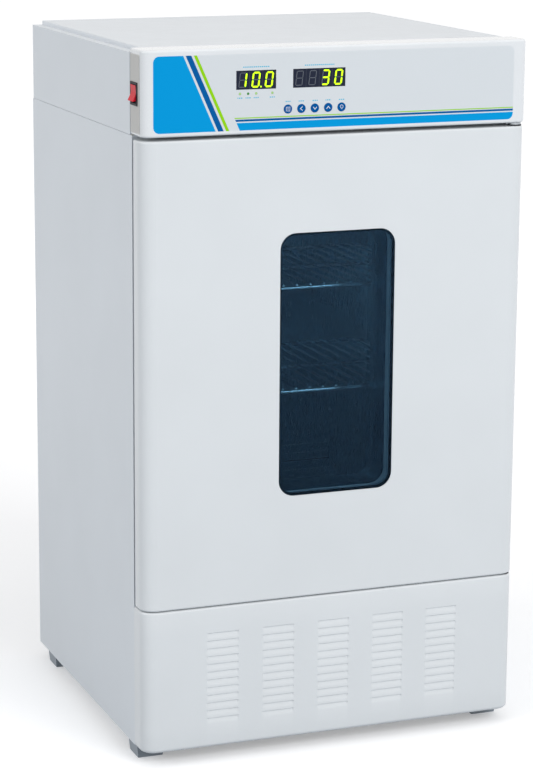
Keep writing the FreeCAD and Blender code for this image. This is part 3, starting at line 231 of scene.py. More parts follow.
class EffectLibrary:
    """The surface effects that several materials share, each a node group built once."""

    GRAIN_SCALE, GRAIN_DETAIL = 900.0, 3.0
    TONE_SCALE, TONE_DETAIL = 9.0, 2.0
    DUST_SCALE, DUST_DETAIL = 40.0, 6.0
    DUST_SLOPES, DUST_PATCHES = (0.3, 1.0), (0.35, 0.75)
    SMUDGE_SCALE, SMUDGE_DETAIL, SMUDGE_WARP = 14.0, 4.0, 1.2
    SMUDGE_PATCHES = (0.45, 0.8)

    def __init__(self) -> None:
        """Starts with no group built."""
        self.groups: dict[str, bpy.types.NodeTree] = {}

    def group(self, name: str, inputs: dict[str, float], outputs: Sequence[str],
              build: Callable[[NodeTree, bpy.types.Node, bpy.types.Node], None]
              ) -> bpy.types.NodeTree:
        """Builds a group the first time it is asked for.

        Args:
            name: The group's name.
            inputs: Its value inputs with their usual values. A vector input is always added.
            outputs: Its value outputs.
            build: Adds the group's nodes between its input and output nodes.

        Returns:
            The group.
        """
        if name not in self.groups:
            tree = bpy.data.node_groups.new(name, "ShaderNodeTree")
            tree.interface.new_socket("Vector", in_out="INPUT", socket_type="NodeSocketVector")
            for socket, usual in inputs.items():
                made = tree.interface.new_socket(socket, in_out="INPUT",
                                                 socket_type="NodeSocketFloat")
                made.default_value = usual
            for socket in outputs:
                tree.interface.new_socket(socket, in_out="OUTPUT", socket_type="NodeSocketFloat")
            nodes = NodeTree(tree)
            build(nodes, nodes.add("NodeGroupInput"), nodes.add("NodeGroupOutput"))
            self.groups[name] = tree
        return self.groups[name]

    def grain(self, kind: Grain) -> bpy.types.NodeTree:
        """Gives the group that makes a grain's height and its slow change of tone.

        Args:
            kind: The grain.

        Returns:
            A group with the inputs Scale and Stretch and the outputs Height and Tone.
        """
        stretched = kind in (Grain.BRUSHED, Grain.ROLLED)

        def build(nodes: NodeTree, start: bpy.types.Node, end: bpy.types.Node) -> None:
            """Adds the fine noise for the height and the broad noise for the tone."""
            place = nodes.add("ShaderNodeVectorMath", operation="MULTIPLY")
            nodes.wire(start.outputs["Vector"], place.inputs[0])
            if stretched:
                along = nodes.add("ShaderNodeCombineXYZ")
                nodes.wire(start.outputs["Stretch"], along.inputs["X"])
                nodes.wire(start.outputs["Stretch"], along.inputs["Y"])
                nodes.wire(1.0, along.inputs["Z"])
                nodes.wire(along.outputs[0], place.inputs[1])
            else:
                place.inputs[1].default_value = (1.0, 1.0, 1.0)
            if kind is Grain.FOAMED:
                cells = nodes.add("ShaderNodeTexVoronoi")
                nodes.wire(place.outputs[0], cells.inputs["Vector"])
                nodes.wire(start.outputs["Scale"], cells.inputs["Scale"])
                height = cells.outputs["Distance"]
            else:
                height = nodes.noise(place.outputs[0], start.outputs["Scale"], self.GRAIN_DETAIL)
            nodes.wire(height, end.inputs["Height"])
            tone = nodes.noise(start.outputs["Vector"], self.TONE_SCALE, self.TONE_DETAIL)
            nodes.wire(tone, end.inputs["Tone"])

        return self.group(kind.value + "_grain", {"Scale": self.GRAIN_SCALE, "Stretch": 1.0},
                          ("Height", "Tone"), build)

    def dust(self) -> bpy.types.NodeTree:
        """Gives the group whose mask is dust on surfaces that face up."""
        def build(nodes: NodeTree, start: bpy.types.Node, end: bpy.types.Node) -> None:
            """Multiplies how far a surface faces up by a cloudy noise."""
            facing = nodes.add("ShaderNodeNewGeometry")
            parts = nodes.add("ShaderNodeSeparateXYZ")
            nodes.wire(facing.outputs["Normal"], parts.inputs[0])
            up = nodes.spread(parts.outputs["Z"], *self.DUST_SLOPES)
            cloud = nodes.noise(start.outputs["Vector"], start.outputs["Scale"],
                                self.DUST_DETAIL)
            amount = nodes.math("MULTIPLY", up, nodes.spread(cloud, *self.DUST_PATCHES))
            nodes.wire(nodes.math("MULTIPLY", amount, start.outputs["Amount"], clamp=True),
                       end.inputs["Mask"])

        return self.group("settled_dust", {"Scale": self.DUST_SCALE, "Amount": 0.0}, ("Mask",),
                          build)

    def handling(self) -> bpy.types.NodeTree:
        """Gives the group whose mask is faint smudges from hands and cloths."""
        def build(nodes: NodeTree, start: bpy.types.Node, end: bpy.types.Node) -> None:
            """Cuts a warped noise into a few soft patches."""
            cloud = nodes.noise(start.outputs["Vector"], start.outputs["Scale"],
                                self.SMUDGE_DETAIL, self.SMUDGE_WARP)
            patches = nodes.spread(cloud, *self.SMUDGE_PATCHES)
            nodes.wire(nodes.math("MULTIPLY", patches, start.outputs["Amount"], clamp=True),
                       end.inputs["Mask"])

        return self.group("handling_smudges", {"Scale": self.SMUDGE_SCALE, "Amount": 0.0},
                          ("Mask",), build)


EFFECTS = EffectLibrary()
MATERIALS: dict[str, bpy.types.Material] = {}
NOISE_RANGE = (0.3, 0.7)
ROUGHNESS_SWING = 0.03
DUST_COLOUR = linear(186, 182, 174)
DUST_ROUGHNESS = 0.4
SMUDGE_ROUGHNESS = 0.15
BUMP_HEIGHT = 0.4 * MM


@dataclass(frozen=True)
class Finish:
    """A material's colour and surface, the same wherever it is used.

    Attributes:
        name: The material's name.
        colour: Its linear base colour.
        roughness: Its mean roughness.
        grain: What it looks like from close by.
        grain_scale: How fine the grain is; higher is finer.
        grain_depth: The grain's bump strength.
        stretch: How many times finer the grain is across than along Z.
        tone: How much the colour changes over the surface.
        metallic: 1 for bare metal.
        coat: The weight of a clear coat.
        coat_roughness: The clear coat's roughness.
        specular: The specular level.
        tint: The colour of its reflections.
        dust: How much dust lies on faces that look up.
        smudges: How much hands have changed the gloss.
        transmission: 1 for glass.
        ior: The index of refraction.
        glow: The emission's strength.
    """

    name: str
    colour: Colour
    roughness: float
    grain: Grain = Grain.MOULDED
    grain_scale: float = 900.0
    grain_depth: float = 0.05
    stretch: float = 1.0
    tone: float = 0.02
    metallic: float = 0.0
    coat: float = 0.0
    coat_roughness: float = 0.1
    specular: float = 0.5
    tint: Colour = (1.0, 1.0, 1.0)
    dust: float = 0.0
    smudges: float = 0.0
    transmission: float = 0.0
    ior: float = 1.5
    glow: float = 0.0

    def material(self) -> bpy.types.Material:
        """Builds the material the first time, and gives the same one after that."""
        if self.name in MATERIALS:
            return MATERIALS[self.name]
        made = bpy.data.materials.new(self.name)
        MATERIALS[self.name] = made
        made.use_nodes = True
        nodes = NodeTree(made.node_tree)
        shader = made.node_tree.nodes["Principled BSDF"]
        place = nodes.add("ShaderNodeTexCoord").outputs["Object"]
        self.set_plain_values(shader)
        self.wire_surface(nodes, shader, place, self.base_colour(nodes, place))
        made.diffuse_color = (*self.colour, 1.0)
        return made

    def base_colour(self, nodes: NodeTree, place: bpy.types.NodeSocket) -> object:
        """Gives the colour before tone and dust: the finish's own.

        Args:
            nodes: The material's nodes. Not used here.
            place: The object coordinates. Not used here.

        Returns:
            A colour socket or three numbers.
        """
        return self.colour

    def set_plain_values(self, shader: bpy.types.Node) -> None:
        """Sets what is the same all over the surface on the shader's own sockets."""
        for name, value in (("Metallic", self.metallic), ("Specular IOR Level", self.specular),
                            ("Specular Tint", (*self.tint, 1.0)), ("Coat Weight", self.coat),
                            ("Coat Roughness", self.coat_roughness),
                            ("Transmission Weight", self.transmission), ("IOR", self.ior)):
            shader.inputs[name].default_value = value
        if self.glow:
            shader.inputs["Emission Color"].default_value = (*self.colour, 1.0)
            shader.inputs["Emission Strength"].default_value = self.glow

    def wire_surface(self, nodes: NodeTree, shader: bpy.types.Node,
                     place: bpy.types.NodeSocket, colour: object) -> None:
        """Adds the grain, the tone, the dust and the smudges.

        Args:
            nodes: The material's nodes.
            shader: Its Principled shader.
            place: The object coordinates.
            colour: The colour to start from.
        """
        grain = nodes.effect(EFFECTS.grain(self.grain), place, Scale=self.grain_scale,
                             Stretch=self.stretch)
        lighter = nodes.add("ShaderNodeHueSaturation")
        nodes.wire(colour if isinstance(colour, bpy.types.NodeSocket) else (*colour, 1.0),
                   lighter.inputs["Color"])
        nodes.wire(nodes.spread(grain.outputs["Tone"], *NOISE_RANGE, 1 - self.tone, 1 + self.tone),
                   lighter.inputs["Value"])
        shade = lighter.outputs["Color"]
        rough = nodes.spread(grain.outputs["Height"], *NOISE_RANGE,
                             max(self.roughness - ROUGHNESS_SWING, 0.0),
                             self.roughness + ROUGHNESS_SWING)
        if self.dust:
            dust = nodes.effect(EFFECTS.dust(), place, Amount=self.dust).outputs["Mask"]
            shade = nodes.mix(dust, shade, DUST_COLOUR)
            rough = nodes.math("ADD", rough, nodes.math("MULTIPLY", dust, DUST_ROUGHNESS),
                               clamp=True)
        if self.smudges:
            hands = nodes.effect(EFFECTS.handling(), place, Amount=self.smudges).outputs["Mask"]
            rough = nodes.math("ADD", rough, nodes.math("MULTIPLY", hands, SMUDGE_ROUGHNESS),
                               clamp=True)
        nodes.wire(shade, shader.inputs["Base Color"])
        nodes.wire(rough, shader.inputs["Roughness"])
        if self.grain_depth:
            bump = nodes.add("ShaderNodeBump")
            bump.inputs["Strength"].default_value = self.grain_depth
            bump.inputs["Distance"].default_value = BUMP_HEIGHT
            nodes.wire(grain.outputs["Height"], bump.inputs["Height"])
            nodes.wire(bump.outputs["Normal"], shader.inputs["Normal"])


OVERLAY_BLUE = linear(0, 156, 222)
DEEP_BLUE = linear(0, 92, 160)
LEAF_GREEN = linear(150, 214, 20)


@dataclass(frozen=True)
class OverlayPrint(Finish):
    """The header's printed film: a pale field with a slanted block, bars and caption dashes.

    Attributes:
        base: The film's lowest level, in metres.
        slope: How far the slanted edges lean for each unit of height.
        block_edge: Where the slanted block ends at the film's base.
        block_colour: The block's colour.
        bars: The slanted bars beside it, as start, end and colour.
        foot_start: Where the lines along the base start.
        foot_lines: Those lines, as lower level, upper level and colour.
        captions: The dashed captions, as middle x, level and half length.
        caption_colour: Their colour.
        caption_height: Half the height of a caption.
        dash_pitch: The pitch of a caption's dashes.
        dash_gap: The gap between two dashes, as a share of the pitch.
    """

    base: float = 0.7828
    slope: float = 0.45
    block_edge: float = -0.158
    block_colour: Colour = OVERLAY_BLUE
    bars: tuple[tuple[float, float, Colour], ...] = (
        (-0.155, -0.148, DEEP_BLUE), (-0.145, -0.141, LEAF_GREEN))
    foot_start: float = -0.128
    foot_lines: tuple[tuple[float, float, Colour], ...] = (
        (-1.0, 0.009, OVERLAY_BLUE), (0.0105, 0.013, DEEP_BLUE), (0.014, 0.0152, LEAF_GREEN))
    captions: tuple[Point, ...] = ()
    caption_colour: Colour = linear(96, 190, 220)
    caption_height: float = 0.0007
    dash_pitch: float = 0.0026
    dash_gap: float = 0.3

    def base_colour(self, nodes: NodeTree, place: bpy.types.NodeSocket) -> object:
        """Paints the print by the place on the film.

        Args:
            nodes: The material's nodes.
            place: The object coordinates.

        Returns:
            The print's colour socket.
        """
        parts = nodes.add("ShaderNodeSeparateXYZ")
        nodes.wire(place, parts.inputs[0])
        across = parts.outputs["X"]
        level = nodes.math("SUBTRACT", parts.outputs["Z"], self.base)
        leaning = nodes.math("ADD", across, nodes.math("MULTIPLY", level, self.slope))
        shade = nodes.mix(nodes.math("LESS_THAN", leaning, self.block_edge), self.colour,
                          self.block_colour)
        for start, end, colour in self.bars:
            shade = nodes.mix(nodes.between(leaning, start, end), shade, colour)
        beyond = nodes.math("GREATER_THAN", leaning, self.foot_start)
        for low, high, colour in self.foot_lines:
            line = nodes.math("MULTIPLY", beyond, nodes.between(level, low, high))
            shade = nodes.mix(line, shade, colour)
        step = nodes.math("FRACT", nodes.math("DIVIDE", across, self.dash_pitch))
        dashes = nodes.math("GREATER_THAN", step, self.dash_gap)
        for middle, height, reach in self.captions:
            inside = nodes.math("MULTIPLY", nodes.between(across, middle - reach, middle + reach),
                                nodes.between(level, height - self.caption_height,
                                              height + self.caption_height))
            shade = nodes.mix(nodes.math("MULTIPLY", inside, dashes), shade, self.caption_colour)
        return shade


PAINT = Finish("powder_coat_pale_grey", linear(226, 229, 231), 0.32, Grain.ORANGE_PEEL, 420.0,
               0.10, tone=0.012, coat=0.25, coat_roughness=0.12, dust=0.03, smudges=0.25)
CASE_PAINT = Finish("powder_coat_case", linear(220, 225, 230), 0.36, Grain.ORANGE_PEEL, 420.0,
                    0.10, tone=0.014, coat=0.15, coat_roughness=0.15, dust=0.06, smudges=0.2)
HEADER_PLASTIC = Finish("header_pale_shell", linear(231, 233, 235), 0.26, Grain.MOULDED, 1500.0,
                        0.03, coat=0.7, coat_roughness=0.06, smudges=0.15)
GALVANISED = Finish("zinc_sheet", linear(176, 181, 186), 0.42, Grain.ROLLED, 260.0, 0.08,
                    stretch=3.0, tone=0.05, metallic=1.0, dust=0.12)
STAINLESS = Finish("stainless_brushed", linear(196, 200, 203), 0.28, Grain.BRUSHED, 60.0, 0.04,
                   stretch=24.0, tone=0.02, metallic=1.0, smudges=0.2)
CHROME_WIRE = Finish("chromed_wire", linear(205, 208, 212), 0.16, Grain.POLISHED, 700.0, 0.03,
                     metallic=1.0)
BLACK_PLASTIC = Finish("moulded_black_plastic", linear(20, 22, 32), 0.45, Grain.MOULDED, 1800.0,
                       0.10, specular=0.15, dust=0.04)
SEAL_RUBBER = Finish("window_seal_grey", linear(176, 186, 192), 0.55, Grain.MOULDED, 1400.0, 0.1,
                     specular=0.35)
GASKET_VINYL = Finish("gasket_vinyl", linear(205, 208, 209), 0.5, Grain.MOULDED, 1100.0, 0.08)
MOUNT_RUBBER = Finish("mount_rubber", linear(20, 20, 21), 0.72, Grain.MOULDED, 900.0, 0.2,
                      specular=0.3, dust=0.1)
FOOT_PLASTIC = Finish("foot_grey_plastic", linear(150, 158, 166), 0.5, Grain.MOULDED, 1200.0,
                      0.12, dust=0.1)
FOAM = Finish("polyurethane_foam", linear(226, 205, 150), 0.9, Grain.FOAMED, 700.0, 0.5,
              tone=0.06, specular=0.2)
ALUMINIUM = Finish("aluminium_fins", linear(190, 193, 196), 0.35, Grain.ROLLED, 300.0, 0.08,
                   stretch=3.0, metallic=1.0, dust=0.1)
COPPER = Finish("copper_tube", linear(184, 115, 84), 0.33, Grain.POLISHED, 500.0, 0.06,
                tone=0.08, metallic=1.0)
BLACK_ENAMEL = Finish("black_enamel", linear(22, 23, 25), 0.38, Grain.CAST, 220.0, 0.14,
                      coat=0.3, dust=0.15)
MOTOR_STEEL = Finish("motor_steel", linear(120, 124, 128), 0.4, Grain.CAST, 300.0, 0.12,
                     metallic=1.0, tone=0.04)
BOARD_GREEN = Finish("board_laminate", linear(16, 84, 52), 0.45, Grain.MOULDED, 300.0, 0.2,
                     tone=0.12)
DISPLAY_LENS = Finish("smoked_display_lens", linear(36, 41, 58), 0.35, Grain.POLISHED, 900.0, 0.01,
                      specular=0.1)
# Each caption has a middle, a level above the film's base and a reach to both sides.
LAMP_PLACES = (0, 1, 2, 4)
FIRST_KEY, KEY_PITCH, KEY_CAPTION = -67.1 * MM, 17.2 * MM, (32.3 * MM, 3.6 * MM)
FIRST_LAMP, LAMP_PITCH, LAMP_CAPTION = -127.8 * MM, 10.2 * MM, (38.3 * MM, 3.2 * MM)
KEY_CAPTIONS = tuple((FIRST_KEY + KEY_PITCH * place, *KEY_CAPTION) for place in range(5))
LAMP_CAPTIONS = tuple((FIRST_LAMP + LAMP_PITCH * place, *LAMP_CAPTION) for place in LAMP_PLACES)
DISPLAY_CAPTIONS = ((-107.4 * MM, 74.5 * MM, 17.0 * MM), (-27.2 * MM, 74.5 * MM, 19.0 * MM))
OVERLAY_FILM = OverlayPrint("header_overlay_film", linear(221, 225, 228), 0.5, Grain.MOULDED,
                            1400.0, 0.04, tone=0.006, specular=0.1, smudges=0.15,
                            captions=KEY_CAPTIONS + LAMP_CAPTIONS + DISPLAY_CAPTIONS)
ROCKER_RED = Finish("signal_red_rocker", linear(222, 18, 42), 0.34, Grain.MOULDED, 1800.0, 0.05,
                    specular=0.12)
KEY_BLUE = Finish("blue_key_cap", linear(0, 86, 154), 0.5, Grain.MOULDED, 2400.0, 0.05,
                  specular=0.08)
KEY_MARK = Finish("key_mark_white", linear(236, 240, 244), 0.45, Grain.MOULDED, 2400.0, 0.05)
PLATE_GREY = Finish("switch_plate_grey", linear(198, 196, 192), 0.45, Grain.MOULDED, 1600.0,
                    0.06)
SEGMENT_LIT = Finish("segment_lit", linear(196, 255, 0), 0.4, Grain.POLISHED, 900.0, 0.0,
                     glow=0.9)
SEGMENT_FAINT = Finish("segment_unlit", linear(92, 98, 108), 0.4, Grain.POLISHED, 900.0, 0.0)
BLOCK_SEAM = Finish("digit_block_seam", linear(58, 64, 78), 0.5, Grain.POLISHED, 900.0, 0.0)
LAMP_GREEN = Finish("lamp_lens_green", linear(24, 132, 24), 0.25, Grain.POLISHED, 900.0, 0.0,
                    coat=0.5)
LAMP_PALE = Finish("lamp_lens_pale", linear(170, 214, 130), 0.3, Grain.POLISHED, 900.0, 0.0,
                   coat=0.4)
TINTED_GLASS = Finish("tinted_window_glass", linear(150, 177, 192), 0.0, Grain.POLISHED, 200.0,
                      0.0, tone=0.0, transmission=1.0, ior=1.27, tint=(0.25, 0.55, 1.0))
CLEAR_GLASS = Finish("inner_window_glass", linear(224, 234, 236), 0.0, Grain.POLISHED, 200.0,
                     0.0, tone=0.0, transmission=1.0, ior=1.2)
SPACER_WHITE = Finish("window_spacer_white", linear(214, 222, 226), 0.6, Grain.MOULDED, 1200.0,
                      0.05, specular=0.3)
LAMP_GLASS = Finish("chamber_lamp_glass", linear(240, 238, 228), 0.25, Grain.POLISHED, 300.0,
                    0.02, transmission=0.4, glow=0.6)
HEATER_SHEATH = Finish("heater_sheath", linear(92, 84, 78), 0.45, Grain.ROLLED, 300.0, 0.1,
                       stretch=2.0, metallic=1.0, tone=0.12)
FAN_PLASTIC = Finish("fan_plastic", linear(38, 40, 43), 0.5, Grain.MOULDED, 1500.0, 0.1,
                     dust=0.08)
SCREW_STEEL = Finish("screw_steel", linear(168, 172, 176), 0.32, Grain.POLISHED, 900.0, 0.05,
                     metallic=1.0)

NODE_FINISHES: dict[Finish, tuple[str, ...]] = {
    PAINT: ("door_skin", "kick_panel"),
    HEADER_PLASTIC: ("header_panel",),
    CASE_PAINT: ("side_panel_left", "side_panel_right", "control_case", "top_cover",
                 "rear_panel", "front_frame"),
    GALVANISED: ("base_tray", "machine_deck", "hinge_bracket_upper", "hinge_bracket_lower"),
    STAINLESS: ("chamber_liner", "duct_panel", "shelf_rack_left", "shelf_rack_right",
                "temperature_probe", "door_liner"),
    GASKET_VINYL: ("door_gasket",),
    OVERLAY_FILM: ("control_overlay",),
    CHROME_WIRE: ("shelf_upper", "shelf_lower"),
    BLACK_PLASTIC: ("power_switch_body", "power_inlet", "condenser_fan_frame", "hinge_bush_lower",
                    "hinge_bush_upper"),
    SEAL_RUBBER: ("window_seal",),
    SPACER_WHITE: ("window_spacer",),
    ALUMINIUM: ("evaporator_coil",),
    MOUNT_RUBBER: ("compressor_mounts",),
    FOOT_PLASTIC: ("foot_front_left", "foot_rear_left", "foot_front_right", "foot_rear_right"),
    FOAM: ("insulation", "door_foam"),
    COPPER: ("condenser_coil",),
    BLACK_ENAMEL: ("compressor",),
    MOTOR_STEEL: ("circulation_fan_motor",),
    BOARD_GREEN: ("display_board", "power_board"),
    DISPLAY_LENS: ("display_temperature", "display_timer"),
    ROCKER_RED: ("rocker_actuator",),
    KEY_BLUE: ("key_1", "key_2", "key_3", "key_4", "key_5"),
    PLATE_GREY: ("switch_plate",),
    LAMP_PALE: ("indicator_leds",),
    TINTED_GLASS: ("window_outer_glass",),
    CLEAR_GLASS: ("window_inner_glass",),
    LAMP_GLASS: ("chamber_lamp",),
    HEATER_SHEATH: ("heater_coil",),
    FAN_PLASTIC: ("circulation_fan", "condenser_fan"),
    SCREW_STEEL: ("rear_screws",),
}


@dataclass
class PieceMesh:
    """Points and faces gathered for one piece, in metres.

    Attributes:
        name: The piece's name.
        points: Its points.
        faces: Its faces, as places in points.
        kinds: For each face, which of the piece's finishes it takes.
    """

    name: str
    points: list[Point] = field(default_factory=list)
    faces: list[tuple[int, ...]] = field(default_factory=list)
    kinds: list[int] = field(default_factory=list)

    def face(self, corners: Sequence[int], kind: int) -> None:
        """Adds one face."""
        self.faces.append(tuple(corners))
        self.kinds.append(kind)

    def skin(self, rings: Sequence[Sequence[Point]], kind: int = 0, closed: bool = False) -> None:
        """Runs a skin through rings of points of equal length.

        Args:
            rings: The rings, each once round.
            kind: Its finish.
            closed: Whether the last ring joins the first, instead of a cap on each.
        """
        start, length = len(self.points), len(rings[0])
        for ring in rings:
            self.points += ring
        for row in range(len(rings) if closed else len(rings) - 1):
            here = start + row * length
            above = start + (row + 1) % len(rings) * length
            for step in range(length):
                after = (step + 1) % length
                self.face((here + step, here + after, above + after, above + step), kind)
        if not closed:
            last = start + (len(rings) - 1) * length
            self.face(range(start, start + length), kind)
            self.face(range(last + length - 1, last - 1, -1), kind)

    def plate(self, outline: Sequence[Flat], near: float, far: float, kind: int = 0) -> None:
        """Adds a flat plate that faces the front.

        Args:
            outline: Its corners as x and z, once round.
            near: Its front face's y.
            far: Its back face's y.
            kind: Its finish.
        """
        self.skin([[(x, y, z) for x, z in outline] for y in (near, far)], kind)

    def ribbon(self, line: Sequence[Flat], width: float, near: float, far: float,
               closed: bool = False, kind: int = 0) -> None:
        """Adds a flat stroke of even width along a line, facing the front.

        Args:
            line: The stroke's middle line as x and z.
            width: Its width.
            near: Its front face's y.
            far: Its back face's y.
            closed: Whether the line joins up with its start.
            kind: Its finish.
        """
        count = len(line)
        rings = []
        for place, middle in enumerate(line):
            back = line[place - 1] if place or closed else middle
            ahead = line[(place + 1) % count] if place < count - 1 or closed else middle
            into = Vector(middle) - Vector(back)
            out = Vector(ahead) - Vector(middle)
            into = (into if into.length else out).normalized()
            out = (out if out.length else into).normalized()
            side = Vector((-into.y - out.y, into.x + out.x)).normalized()
            reach = width / 2 / max(side.dot(Vector((-into.y, into.x))), MITRE_LEAST)
            left = Vector(middle) + side * reach
            right = Vector(middle) - side * reach
            rings.append([(left.x, near, left.y), (right.x, near, right.y),
                          (right.x, far, right.y), (left.x, far, left.y)])
        self.skin(rings, kind, closed)

    def turned(self, centre: Flat, profile: Sequence[Flat], sides: int, kind: int = 0) -> None:
        """Adds a form turned about an axis along Y, closed at both ends.

        Args:
            centre: The axis's x and z.
            profile: Radius and y from one end to the other, with no radius of zero.
            sides: How many sides it has.
            kind: Its finish.
        """
        self.skin([[(centre[0] + x, y, centre[1] + z) for x, z in circle(radius, sides)]
                   for radius, y in profile], kind)

    def make(self, body: str, finishes: Sequence[Finish],
             smooth: bool = False) -> bpy.types.Object:
        """Makes the object, dresses it and lets it ride on its body.

        Args:
            body: The body that it moves with.
            finishes: Its finishes, in the order of the kinds.
            smooth: Whether its round faces are shaded smooth.

        Returns:
            The new object.
        """
        mesh = bpy.data.meshes.new(self.name)
        mesh.from_pydata(self.points, [], self.faces)
        for finish in finishes:
            mesh.materials.append(finish.material())
        for face, kind in zip(mesh.polygons, self.kinds):
            face.material_index = kind
            face.use_smooth = smooth
        form = bmesh.new()
        form.from_mesh(mesh)
        bmesh.ops.recalc_face_normals(form, faces=form.faces)
        if smooth:
            for edge in form.edges:
                edge.smooth = edge.is_manifold and edge.calc_face_angle() < SHARP_EDGE
        form.to_mesh(mesh)
        form.free()
        piece = bpy.data.objects.new(self.name, mesh)
        bpy.context.scene.collection.objects.link(piece)
        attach(piece, body)
        LOG.info("made %s with %d faces", self.name, len(mesh.polygons))
        return piece


SEGMENTS_LIT = {"0": "abcdef", "1": "bc", "3": "abcdg", " ": ""}


@dataclass
class DigitDisplay:
    """Seven-segment digits behind a display's lens.

    Attributes:
        node: The display's CAD node.
        text: One character for each digit.
        point_after: The digit that has a lit point after it, or -1.
        height: A digit's height.
        width: A digit's width.
        stroke: The width of a lit segment.
        faint_stroke: The width of an unlit one.
        gap: The gap between two segments' ends.
        lean: How far a digit leans for each unit of height.
        proud: How far a segment stands in front of the lens.
        seam: The width of the line between two digits' blocks.
        point_radius: The radius of the lit point.
        point_offset: How far it stands beside its digit, in radii.
        point_sides: How many sides it has.
    """

    node: str
    text: str
    point_after: int = -1
    height: float = 18.6 * MM
    width: float = 10.0 * MM
    stroke: float = 2.0 * MM
    faint_stroke: float = 0.8 * MM
    gap: float = 0.25 * MM
    lean: float = 0.12
    proud: float = 0.15 * MM
    seam: float = 0.3 * MM
    point_radius: float = 1.0 * MM
    point_offset: float = 1.2
    point_sides: int = 20

    def segment(self, letter: str, stroke: float) -> list[Flat]:
        """Gives a segment's outline about the digit's middle, before it leans.

        Args:
            letter: The segment, from a at the top round to g across the middle.
            stroke: Its width.

        Returns:
            Its six corners.
        """
        side = (self.width - self.stroke) / 2
        top = (self.height - self.stroke) / 2
        ends = {"a": ((-side, top), (side, top)), "b": ((side, 0.0), (side, top)),
                "c": ((side, -top), (side, 0.0)), "d": ((-side, -top), (side, -top)),
                "e": ((-side, -top), (-side, 0.0)), "f": ((-side, 0.0), (-side, top)),
                "g": ((-side, 0.0), (side, 0.0))}[letter]
        start, end = Vector(ends[0]), Vector(ends[1])
        along = (end - start).normalized()
        over = Vector((-along.y, along.x)) * stroke / 2
        start, end = start + along * self.gap, end - along * self.gap
        into = along * stroke / 2
        return [tuple(corner) for corner in (start, start + into + over, end - into + over, end,
                                             end - into - over, start + into - over)]

    def build(self) -> None:
        """Builds every digit's segments, the seams and the lit point."""
        low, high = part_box(self.node)
        mesh = PieceMesh("digits_" + self.node)
        pitch = (high[0] - low[0]) / len(self.text)
        level = (low[2] + high[2]) / 2
        near, far = low[1] - self.proud, low[1] + self.proud
        for place, character in enumerate(self.text):
            middle = low[0] + pitch * (place + 0.5)
            for letter in "abcdefg":
                lit = letter in SEGMENTS_LIT[character]
                outline = self.segment(letter, self.stroke if lit else self.faint_stroke)
                mesh.plate([(middle + x + self.lean * z, level + z) for x, z in outline],
                           near, far, 0 if lit else 1)
            if place:
                seam = low[0] + pitch * place
                mesh.ribbon([(seam, low[2] + self.seam), (seam, high[2] - self.seam)], self.seam,
                            near, far, kind=2)
            if place == self.point_after:
                mesh.turned((middle + self.width / 2 + self.point_offset * self.point_radius,
                             level - self.height / 2 + self.point_radius),
                            [(self.point_radius, far), (self.point_radius, near)],
                            self.point_sides)
        mesh.make("cabinet", (SEGMENT_LIT, SEGMENT_FAINT, BLOCK_SEAM))


class KeySign(Enum):
    """The sign on a key."""

    LIST = 1
    LEFT = 2
    DOWN = 3
    UP = 4
    LAMP = 5


@dataclass
class KeySigns:
    """The white signs printed on the five round keys.

    Attributes:
        stroke: The width of an arrow's strokes.
        fine_stroke: The width of the other signs' strokes.
        reach: Half a sign's size.
        ink: How thick the sign is.
        ring_steps: How many points a round stroke has.
        arrow_rise: An arrow's half height as a share of reach, like all that follow.
        row_reach: Half the length of a list's rows.
        row_lift: How far they lie from the middle.
        bulb: The radius of the lamp's bulb.
        bulb_lift: How far its middle lies above the key's.
        cap_reach: Half the length of the stroke under it.
        cap_drop: How far that stroke lies below the middle.
    """

    stroke: float = 0.75 * MM
    fine_stroke: float = 0.45 * MM
    reach: float = 2.3 * MM
    ink: float = 0.06 * MM
    ring_steps: int = 28
    arrow_rise: float = 0.62
    row_reach: float = 0.5
    row_lift: float = 0.42
    bulb: float = 0.8
    bulb_lift: float = 0.3
    cap_reach: float = 0.35
    cap_drop: float = 0.85

    def arrow(self, turn: float) -> list[Flat]:
        """Gives the three points of an arrow head turned from pointing up."""
        half, rise = self.reach, self.reach * self.arrow_rise
        corners = ((-half, -rise), (0.0, rise), (half, -rise))
        return [(x * math.cos(turn) - z * math.sin(turn), x * math.sin(turn) + z * math.cos(turn))
                for x, z in corners]

    def ring(self, radius: float, lift: float = 0.0) -> list[Flat]:
        """Gives the points of a round stroke."""
        return [(x, lift + z) for x, z in circle(radius, self.ring_steps)]

    def strokes(self, sign: KeySign) -> list[tuple[list[Flat], bool]]:
        """Gives a sign's strokes.

        Args:
            sign: The sign.

        Returns:
            Each stroke's points about the key's middle, and whether it is closed.
        """
        size = self.reach
        if sign is KeySign.LIST:
            frame_line = [(-size, -size), (size, -size), (size, size), (-size, size)]
            half, lift = size * self.row_reach, size * self.row_lift
            return [(frame_line, True)] + [([(-half, level), (half, level)], False)
                                           for level in (-lift, lift)]
        if sign is KeySign.LAMP:
            half, drop = size * self.cap_reach, size * self.cap_drop
            return [(self.ring(size * self.bulb, size * self.bulb_lift), True),
                    ([(-half, -drop), (half, -drop)], False)]
        turn = {KeySign.LEFT: math.pi / 2, KeySign.DOWN: math.pi, KeySign.UP: 0.0}[sign]
        return [(self.arrow(turn), False)]

    def build(self) -> None:
        """Puts each key's sign on its face."""
        for sign in KeySign:
            low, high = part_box(f"key_{sign.value}")
            middle = ((low[0] + high[0]) / 2, (low[2] + high[2]) / 2)
            mesh = PieceMesh(f"key_sign_{sign.value}")
            width = self.fine_stroke if sign in (KeySign.LIST, KeySign.LAMP) else self.stroke
            for line, closed in self.strokes(sign):
                mesh.ribbon([(middle[0] + x, middle[1] + z) for x, z in line], width,
                            low[1] - self.ink, low[1] + self.ink, closed)
            mesh.make(f"key_body_{sign.value}", (KEY_MARK,))


